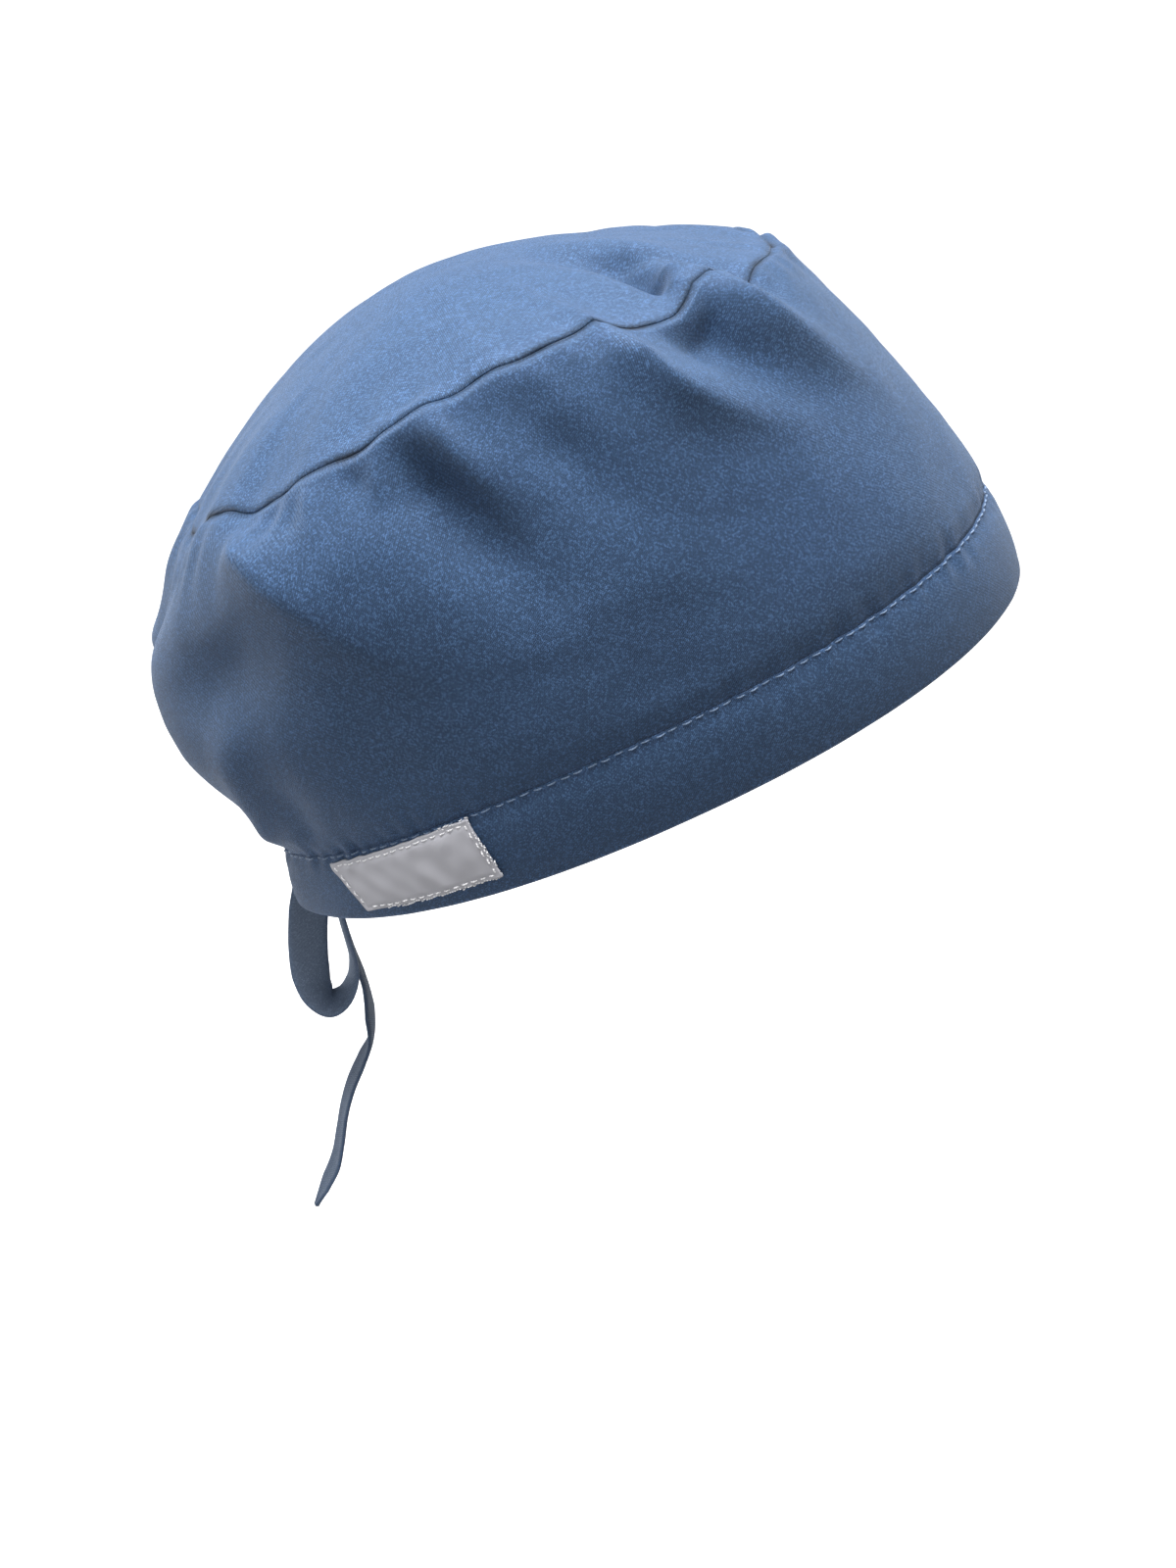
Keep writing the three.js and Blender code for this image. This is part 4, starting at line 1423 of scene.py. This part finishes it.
@dataclass
class HemBand:
    """The doubled hem along the rim, a folded strip with a casing inside it for the tie.

    Attributes:
        form: the cap's form.
        layer: thickness of one layer of cloth.
        thick: thickness of the folded hem.
        rim_share: where the fold round the rim starts.
        rim_levels: two shares of the wall that give the direction down at the rim.
        hem_gap: share left free below the side panel.
        inner_top: height of the inner layer beside the outer one's.
        opening: half width of the opening at the nape.
        columns: columns of the grid.
        rows: rows of either layer.
        rim_rows: rows round the rim.
        rim_fade: strength of the wear at the rim.
        hem_fade: strength and half width of the wear at the topstitch.
        stitch_inset: share of the wall from the hem's upper edge to the topstitch.
        stitch_points: points of the topstitch's line.
        cut: the flat strip's length and width.
        stitches: the topstitch.
    """

    form: CapForm
    layer: float = 0.75 * MM
    thick: float = 2.4 * MM
    rim_share: float = 0.012
    rim_levels: tuple[float, float] = (0.005, 0.03)
    hem_gap: float = 0.0004
    inner_top: float = 0.97
    opening: float = 3.2
    columns: int = 470
    rows: int = 22
    rim_rows: int = 9
    rim_fade: float = 0.7
    hem_fade: tuple[float, float] = (0.4, 0.012)
    stitch_inset: float = 0.006
    stitch_points: int = 3000
    cut: tuple[float, float] = (0.575, 0.052)
    stitches: Stitching = Stitching(2.6 * MM, 3.4 * MM, 0.2 * MM, 0.1 * MM, 17)

    def profile(self) -> tuple[Array, Array, Array]:
        """The folded strip's profile from its outer top edge round the rim to its inner one.

        Returns:
            Share of the wall, depth inwards and drop below the last share, at each point.
        """
        top = self.form.hem_share
        fall = np.linspace(top - self.hem_gap, self.rim_share, self.rows)
        turn = np.linspace(0.0, math.pi, self.rim_rows + 2)[1:-1]
        rise = np.linspace(self.rim_share, top * self.inner_top, self.rows)
        share = np.concatenate([fall, np.full(self.rim_rows, self.rim_share), rise])
        half = self.thick / 2
        flat = np.zeros(self.rows)
        depth = np.concatenate([flat, half * (1 - np.cos(turn)), flat + self.thick])
        drop = np.concatenate([flat, half * np.sin(turn), flat])
        return share, depth, drop

    def build(self) -> bpy.types.Object:
        """Builds the folded strip."""
        turns = np.linspace(self.opening - 180.0, 180.0 - self.opening, self.columns)
        share, depth, drop = self.profile()
        around, level = np.meshgrid(turns, share, indexing="ij")
        wall = self.form.wall_face(around, level)
        out = self.form.wall_normal(around, level)
        low, high = (self.form.wall_face(around, np.full_like(around, at)) for at in self.rim_levels)
        down = unit(low - high)
        half = self.thick / 2
        skin = wall - out * depth[None, :, None] + down * drop[None, :, None]
        reach = np.where(drop > 0, 1.0 - self.layer / half, 0.0)
        inset = np.where(depth < half, depth + self.layer, depth - self.layer)
        turned = half + (depth - half) * reach
        inset = np.where(drop > 0, turned, inset)
        lining = wall - out * inset[None, :, None] + down * (drop * reach)[None, :, None]
        length = lengths_along(np.stack([share * self.form.wall_height, depth], axis=-1))
        cloth = np.stack(np.broadcast_arrays(self.form.cloth_across(around), -length[None, :]), axis=-1)
        fade, spread = self.hem_fade
        wear_and_shade = self.rim_fade * hump(drop - half, half) * (drop > 0)
        wear_and_shade = np.broadcast_to(wear_and_shade + fade * hump(share - self.form.hem_share, spread), around.shape)
        grids = (self.form.worn(skin), self.form.worn(lining), cloth, wear_and_shade)
        return SheetMesh(*(grid[:, ::-1] for grid in grids)).build("hem_cloth")

    def topstitch(self) -> bpy.types.Object:
        """Builds the line of topstitch along the hem's upper edge."""
        turns = np.linspace(self.opening - 180.0, 180.0 - self.opening, self.stitch_points)
        level = np.full_like(turns, self.form.hem_share - self.stitch_inset)
        line = self.form.worn(self.form.wall_face(turns, level))
        out = self.form.worn(self.form.wall_normal(turns, level))
        return self.stitches.build("hem_topstitch", line, out)

    def dress(self) -> bpy.types.Object:
        """Returns:
            The hem's cloth.
        """
        hem = clothe(self.build(), CAP_CLOTH, "band_cloth", "hem_band")
        topstitch = clothe(self.topstitch(), HEM_THREAD, "band_cloth")
        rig.sheet(hem, flat=self.cut, held="folded", with_pieces=[topstitch])
        return hem


@dataclass
class Label:
    """The bare woven patch on the band, towards the back of the wearer's right.

    Attributes:
        form: the cap's form.
        wide: length along the band.
        high: height up the band.
        thick: thickness of the patch.
        clear: gap above the band.
        around: angle of its middle.
        share: share of the wall at its middle.
        slant: how far its ends lean, in degrees.
        rise: how far it climbs along the band, per metre.
        flare: how much longer its top is than its foot.
        border: from its edge to the stitches.
        columns: columns of the grid.
        rows: rows of the grid.
        flat_edge: width of the edge where it doesn't buckle.
        stitch_sink: depth and half width of the groove under the stitches.
        stitch_bite: how far the stitches sink in.
        corner_lift: height and half width of the lifted corners.
        edge_fade: strength of the wear at its edge.
        fade_spread: half width of that wear.
        band_part: angles between which the band is measured.
        band_points: points that it is measured at.
        fray_ends: where the loose threads start and end, as shares of the half length.
        fray_out: how far out they lie, as a share of the thickness.
        side_points: points of a line of stitches from corner to corner.
        buckle: its unevenness.
        stitches: the stitches along its edge.
        loose: the loose threads.
    """

    form: CapForm
    wide: float = 0.0425
    high: float = 0.018
    thick: float = 0.55 * MM
    clear: float = 0.3 * MM
    around: float = -127.0
    share: float = 0.128
    slant: float = 20.0
    rise: float = 0.037
    flare: float = 0.14
    border: float = 1.1 * MM
    columns: int = 120
    rows: int = 46
    flat_edge: float = 3 * MM
    stitch_sink: tuple[float, float] = (0.2 * MM, 0.6 * MM)
    stitch_bite: float = 0.1 * MM
    corner_lift: tuple[float, float] = (0.5 * MM, 3 * MM)
    edge_fade: float = 0.8
    fade_spread: float = 0.5 * MM
    band_part: tuple[float, float] = (-180.0, -60.0)
    band_points: int = 1201
    fray_ends: tuple[float, float] = (-0.7, 0.6)
    fray_out: float = 0.7
    side_points: int = 200
    buckle: Ripples = Ripples(23, 0.12 * MM, 5 * MM, 14 * MM)
    stitches: Stitching = Stitching(1.9 * MM, 2.5 * MM, 0.2 * MM, 0.1 * MM, 29)
    loose: Stitching = Stitching(0.9 * MM, 0.75 * MM, 0.16 * MM, 0.3 * MM, 31)

    def place(self, length: Array, height: Array, out: Array) -> Array:
        """Points of the patch by how far they lie along the band, up it and out from it."""
        turns = np.linspace(*self.band_part, self.band_points)
        wall = self.form.wall_face(turns, np.full_like(turns, self.share))
        gone = lengths_along(wall)
        middle = np.interp(self.around, turns, gone)
        skewed = middle + length * (1.0 + self.flare * height / self.high)
        skewed = skewed - height * math.tan(math.radians(self.slant))
        around = np.interp(skewed, gone, turns)
        level = self.share + (height + self.rise * length) / self.form.wall_height
        face = self.form.wall_face(around, level)
        return self.form.worn(face + self.form.wall_normal(around, level) * out[..., None])

    def build(self) -> bpy.types.Object:
        """Builds the patch with its slight buckle and lifted corners."""
        length, height = np.meshgrid(
            np.linspace(-self.wide / 2, self.wide / 2, self.columns),
            np.linspace(-self.high / 2, self.high / 2, self.rows),
            indexing="ij",
        )
        edge = np.minimum(self.wide / 2 - np.abs(length), self.high / 2 - np.abs(height))
        out = self.clear + self.thick + self.buckle.at(length, height) * smooth(edge / self.flat_edge)
        sink, groove = self.stitch_sink
        out = out - sink * hump(edge - self.border, groove)
        lift, spread = self.corner_lift
        corner = np.hypot(np.abs(length) - self.wide / 2, np.abs(height) - self.high / 2)
        out = out + lift * hump(corner, spread)
        face = self.place(length, height, out)
        back = self.place(length, height, out - self.thick)
        cloth = np.stack([length, height], axis=-1)
        wear_and_shade = self.edge_fade * hump(edge, self.fade_spread)
        return SheetMesh(face, back, cloth, wear_and_shade).build("label_patch")

    def sew(self, stitching: Stitching, name: str, corners: list[tuple], out: float) -> bpy.types.Object:
        """Lays stitches from corner to corner.

        Args:
            stitching: the stitches.
            name: the piece's name.
            corners: places along the patch and up it.
            out: how far out from the band they lie.

        Returns:
            One mesh of all the stitches.
        """
        ends = np.array(corners)
        sides = [np.linspace(a, b, self.side_points) for a, b in zip(ends[:-1], ends[1:])]
        length, height = np.concatenate(sides).T
        line = self.place(length, height, np.full(len(length), out))
        above = self.place(length, height, np.full(len(length), out + MM))
        return stitching.build(name, line, unit(above - line))

    def edge_stitch(self) -> bpy.types.Object:
        """Builds the stitches just inside the patch's edge."""
        x, y = self.wide / 2 - self.border, self.high / 2 - self.border
        corners = [(-x, -y), (x, -y), (x, y), (-x, y), (-x, -y)]
        return self.sew(self.stitches, "label_stitch", corners, self.clear + self.thick - self.stitch_bite)

    def fray(self) -> bpy.types.Object:
        """Builds the loose threads along the patch's cut right-hand edge."""
        x, y = self.wide / 2, self.high / 2
        start, end = self.fray_ends
        corners = [(start * x, -y), (x, -y), (x, y), (end * x, y)]
        return self.sew(self.loose, "label_fray", corners, self.clear + self.fray_out * self.thick)

    def dress(self, hem: bpy.types.Object) -> None:
        """Args:
            hem: the cloth that the patch is sewn on.
        """
        patch = clothe(self.build(), LABEL_SATIN, "label_satin", "label")
        threads = [clothe(sewn, LABEL_THREAD, "label_satin") for sewn in (self.edge_stitch(), self.fray())]
        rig.sheet(patch, flat=(self.wide, self.high), held="laid", rests_on=[hem], with_pieces=threads)


@dataclass
class Tie:
    """The hanging loop and free end of the tie, a flat folded tape.

    Attributes:
        wide: width of the tape.
        thick: its thickness.
        thin_edge: its thickness at the edges beside that.
        edge_crest: how late its thickness falls off towards the edges.
        cup: how far it is cupped.
        edge_fade: strength of the wear at its edges.
        fade_spread: half width of that wear, as a share of the tape's.
        loop_length: length of the loop.
        tail_length: length of the free end.
        hidden: length that runs into the knot.
        steps: points along a route.
        across: points across the tape.
    """

    wide: float = 0.011
    thick: float = 1.3 * MM
    thin_edge: float = 0.12
    edge_crest: int = 6
    cup: float = 0.45 * MM
    edge_fade: float = 0.6
    fade_spread: float = 0.05
    loop_length: float = 0.097
    tail_length: float = 0.116
    hidden: float = 4.0 * MM
    steps: int = 160
    across: int = 15

    def route(self, rows: tuple[TapePoint, ...]) -> tuple[Array, Array, Array]:
        """A smooth curve through a route's points.

        Args:
            rows: the route.

        Returns:
            Points, turns and shares of full width along it.
        """
        points = np.array([[row.x, row.y, row.z] for row in rows])
        ends = np.vstack([2 * points[0] - points[1], points, 2 * points[-1] - points[-2]])
        spans = np.sqrt(np.linalg.norm(np.diff(ends, axis=0), axis=1))[:, None]
        place = np.linspace(0.0, len(rows) - 1.0, self.steps)
        k = np.minimum(place.astype(int), len(rows) - 2)
        u = (place - k)[:, None]
        p0, p1, p2, p3 = ends[k], ends[k + 1], ends[k + 2], ends[k + 3]
        d0, d1, d2 = spans[k], spans[k + 1], spans[k + 2]
        t1 = ((p1 - p0) / d0 - (p2 - p0) / (d0 + d1) + (p2 - p1) / d1) * d1
        t2 = ((p2 - p1) / d1 - (p3 - p1) / (d1 + d2) + (p3 - p2) / d2) * d1
        curve = (2 * u**3 - 3 * u**2 + 1) * p1 + (u**3 - 2 * u**2 + u) * t1
        curve = curve + (3 * u**2 - 2 * u**3) * p2 + (u**3 - u**2) * t2
        stations = np.arange(len(rows))
        turn = np.interp(place, stations, [row.turn for row in rows])
        share = np.interp(place, stations, [row.wide for row in rows])
        return curve, turn, share

    def tape(self, name: str, rows: tuple[TapePoint, ...]) -> tuple[bpy.types.Object, Array]:
        """Builds a stretch of tape.

        Args:
            name: the piece's name.
            rows: its route.

        Returns:
            The piece and the points of its middle line.
        """
        path, turn, share = self.route(rows)
        curve = np.concatenate([path[:1] + unit(path[:1] - path[1:2]) * self.hidden, path])
        turn = np.concatenate([turn[:1], turn])
        share = np.concatenate([share[:1], share])
        ahead = unit(np.gradient(curve, axis=0))
        fore = unit(np.cross(ahead, np.array([0.0, 1.0, 0.0])))
        sideways = np.cross(fore, ahead)
        angle = np.radians(turn)[:, None]
        wide = sideways * np.cos(angle) + fore * np.sin(angle)
        out = np.cross(ahead, wide)
        place = np.linspace(-0.5, 0.5, self.across)
        width = (self.wide * share)[:, None, None]
        rounding = np.sqrt(np.maximum(1.0 - np.abs(2.0 * place) ** self.edge_crest, 0.0))
        cup = self.cup * (1.0 - 4.0 * place**2)
        middle = curve[:, None] + wide[:, None] * place[None, :, None] * width
        middle = middle + out[:, None] * cup[None, :, None]
        full = self.thin_edge + (1.0 - self.thin_edge) * rounding
        half = out[:, None] * (self.thick / 2) * full[None, :, None]
        gone = lengths_along(curve)
        cloth = np.stack(np.broadcast_arrays(gone[:, None], place[None] * self.wide), axis=-1)
        edge = self.edge_fade * hump(0.5 - np.abs(place), self.fade_spread)
        wear_and_shade = np.broadcast_to(edge, cloth.shape[:2])
        return SheetMesh(middle - half, middle + half, cloth, wear_and_shade).build(name), path

    def hang(
        self, node: str, rows: tuple[TapePoint, ...], finish: Finish, length: float, far_end: str
    ) -> None:
        """Args:
            node: the solid that it stands for.
            rows: its route.
            finish: its cloth.
            length: its length.
            far_end: what its far end is.
        """
        piece, path = self.tape(f"{node}_cloth", rows)
        clothe(piece, finish, "tie_cloth", node)
        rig.cord(
            piece, exit=path[0], length=length, diameter=self.wide, far_end=far_end,
            stiffness="limp", lay="hanging", path=path,
        )

    def dress(self) -> None:
        """Hangs the loop and the free end."""
        self.hang("tie_loop", LOOP_ROUTE, TIE_CLOTH_WITH_PAINTED_LIGHT, self.loop_length, "object")
        self.hang("tie_tail", TAIL_ROUTE, TAIL_CLOTH, self.tail_length, "bare")


@dataclass
class Knot:
    """The knot of the half bow: a tape wrapped round the two ends that run into the band.

    Attributes:
        form: the cap's form.
        back: where its middle lies behind the middle of the rim.
        high: height of its middle above the rim plane.
        half: half length.
        lump: half length of the lump in the middle.
        neck: from the middle to where the ends are gathered.
        neck_spread: half length of that place.
        end_tall: half height of the ends, and what the lump adds and the necks take.
        end_thick: half thickness of the ends, and what the lump adds.
        bend: how far the ends bend in towards the band.
        wraps: turns of the wrapped tape, and its twist per metre.
        crest: below 1 the wraps are rounder and the ditches between them sharper.
        ridge: how far a wrap stands out, and how far the ditches lie in.
        shade: how much shade is painted into the ditches between the wraps.
        girth: cloth round the knot, per radian.
        sides: points of a ring.
        rings: rings along it.
    """

    form: CapForm
    back: float = -0.093
    high: float = 0.0112
    half: float = 7.8 * MM
    lump: float = 3.8 * MM
    neck: float = 5.0 * MM
    neck_spread: float = 1.4 * MM
    end_tall: Place = (5.8 * MM, 1.8 * MM, 0.8 * MM)
    end_thick: tuple[float, float] = (0.8 * MM, 4.8 * MM)
    bend: float = 2.8 * MM
    wraps: tuple[float, float] = (1.5, 380.0)
    crest: float = 0.6
    ridge: tuple[float, float] = (0.14, 0.09)
    shade: float = 0.6
    girth: float = 4.0 * MM
    sides: int = 48
    rings: int = 41

    def build(self) -> bpy.types.Object:
        """Builds the knot as one closed tube with the wraps' ridges round it."""
        along = np.linspace(-self.half, self.half, self.rings)[:, None]
        turns = np.linspace(0.0, 2.0 * math.pi, self.sides, endpoint=False)
        swell = hump(along, self.lump)
        tall, lump_tall, neck_tall = self.end_tall
        tall = tall + lump_tall * swell - neck_tall * hump(np.abs(along) - self.neck, self.neck_spread)
        thick = self.end_thick[0] + self.end_thick[1] * swell
        wrap = np.abs(np.cos(self.wraps[0] * turns + self.wraps[1] * along)) ** self.crest
        ridge = 1.0 + (self.ridge[0] * wrap - self.ridge[1]) * swell
        back = self.back + self.bend * (along / self.half) ** 2 + thick * np.sin(turns) * ridge
        high = self.high + tall * np.cos(turns) * ridge
        points = self.form.worn(np.stack(np.broadcast_arrays(back, along, high), axis=-1))
        cloth = np.stack(np.broadcast_arrays(along, turns * self.girth), axis=-1).reshape(-1, 2)
        # Painted shade in the ditches between the wraps.
        wear_and_shade = -self.shade * (1.0 - wrap) ** 2 * swell
        faces = tube_faces(self.rings, self.sides)
        return add_piece("tie_knot_cloth", points.reshape(-1, 3), faces, cloth, wear_and_shade.ravel())

    def dress(self) -> None:
        """Builds the knot and clothes it."""
        clothe(self.build(), TIE_CLOTH_WITH_PAINTED_LIGHT, "tie_cloth", "tie_knot")


@dataclass(frozen=True)
class Softbox:
    """A square light that faces the cap."""

    name: str
    place: Place
    size: float
    watts: float


SOFTBOXES = (
    Softbox("window", (-0.3, -0.25, 0.85), 0.3, 9.8),
    Softbox("overhead", (0.02, -0.2, 0.9), 0.3, 8.8),
    Softbox("top_back", (0.05, 0.3, 0.85), 0.3, 7.5),
    Softbox("fill", (0.2, -0.75, 0.75), 0.5, 1.7),
    Softbox("nape_rim", (-0.75, 0.3, -0.05), 0.5, 1.4),
    Softbox("floor_glow", (-0.5, -0.5, -0.25), 0.5, 1.3),
)


@dataclass
class Studio:
    """A white floor that curves up all round, soft lights, and the camera."""

    azimuth: float = -5.0
    elevation: float = 12.5
    distance: float = 0.54
    middle: Place = (-0.0244, 0.0, 0.0548)
    aim: Place = (-0.0172, -0.0203, -0.0124)
    lens: float = 48.0
    nearest: float = 0.01
    floor_drop: float = 0.10
    floor_radius: float = 2.5
    curve_radius: float = 1.5
    floor_sides: int = 96
    flat_rings: tuple[float, ...] = (0.25, 0.5, 0.75)
    curve_rows: int = 16
    sky: float = 0.28

    def camera(self) -> None:
        """Places the camera where the photograph was taken from."""
        turn, rise = math.radians(self.azimuth), math.radians(self.elevation)
        level = math.cos(rise)
        towards = Vector((math.sin(turn) * level, -math.cos(turn) * level, math.sin(rise)))
        data = bpy.data.cameras.new("camera")
        data.lens = self.lens
        data.clip_start = self.nearest
        eye = bpy.data.objects.new("camera", data)
        eye.location = Vector(self.middle) + towards * self.distance
        eye.rotation_euler = (Vector(self.aim) - eye.location).to_track_quat("-Z", "Y").to_euler()
        bpy.context.scene.collection.objects.link(eye)
        bpy.context.scene.camera = eye

    def hang(self, box: Softbox) -> None:
        """Hangs a softbox, out of the camera's sight."""
        data = bpy.data.lights.new(box.name, "AREA")
        data.energy = box.watts
        data.size = box.size
        light = bpy.data.objects.new(box.name, data)
        light.visible_camera = False
        light.location = box.place
        facing = Vector(box.place) - Vector(self.middle)
        light.rotation_euler = facing.to_track_quat("Z", "Y").to_euler()
        bpy.context.scene.collection.objects.link(light)

    def lights(self) -> None:
        """Hangs the softboxes and sets an even white sky."""
        for box in SOFTBOXES:
            self.hang(box)
        world = bpy.data.worlds.new("studio")
        world.use_nodes = True
        graph = Graph(world.node_tree)
        sky = graph.node("ShaderNodeBackground", None, {"Color": rgba(WHITE), "Strength": self.sky})
        graph.node("ShaderNodeOutputWorld", None, {"Surface": sky})
        bpy.context.scene.world = world
        bpy.context.scene.view_settings.view_transform = "Standard"

    def floor(self) -> None:
        """Lays a round floor below the tie, curved up at its edge so that no horizon shows."""
        level = cad_box[0].z - self.floor_drop
        bend = np.radians(np.linspace(0.0, 90.0, self.curve_rows))
        flat = self.floor_radius * np.array(self.flat_rings)
        reach = np.concatenate([flat, self.floor_radius + self.curve_radius * np.sin(bend)])
        high = level + np.concatenate([np.zeros(len(flat)), self.curve_radius * (1.0 - np.cos(bend))])
        turns = np.linspace(0.0, 2.0 * math.pi, self.floor_sides, endpoint=False)
        x = reach[:, None] * np.cos(turns)
        y = reach[:, None] * np.sin(turns)
        points = np.stack([x, y, np.broadcast_to(high[:, None], x.shape)], axis=-1).reshape(-1, 3)
        index = np.arange(len(points)).reshape(len(reach), self.floor_sides)
        after = np.roll(index, -1, axis=1)
        quads = np.stack([index[:-1], index[1:], after[1:], after[:-1]], axis=-1)
        mesh = bpy.data.meshes.new("floor")
        mesh.from_pydata(points.tolist(), [], [*quads.reshape(-1, 4).tolist(), index[0].tolist()])
        mesh.polygons.foreach_set("use_smooth", np.ones(len(mesh.polygons), bool))
        floor = bpy.data.objects.new("floor", mesh)
        mesh.materials.append(PaperFinish().material())
        floor.visible_diffuse = False
        bpy.context.scene.collection.objects.link(floor)
        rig.stage(floor)


def main() -> None:
    """Builds the cap piece by piece and sets the studio round it."""
    logging.basicConfig(level=logging.INFO, format="%(name)s: %(message)s")
    studio = Studio()
    studio.camera()
    form = CapForm()
    Tie().dress()
    Knot(form).dress()
    hem = HemBand(form).dress()
    CrownPanel(form).dress()
    SidePanel(form).dress()
    Label(form).dress(hem)
    studio.lights()
    studio.floor()
    boxes = {"cad": [list(corner) for corner in cad_box], "visual": [list(corner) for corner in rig.bounds()]}
    with open(SIZE_FILE, "w", encoding="utf-8") as size_file:
        json.dump(boxes, size_file)


if __name__ == "__main__":
    main()
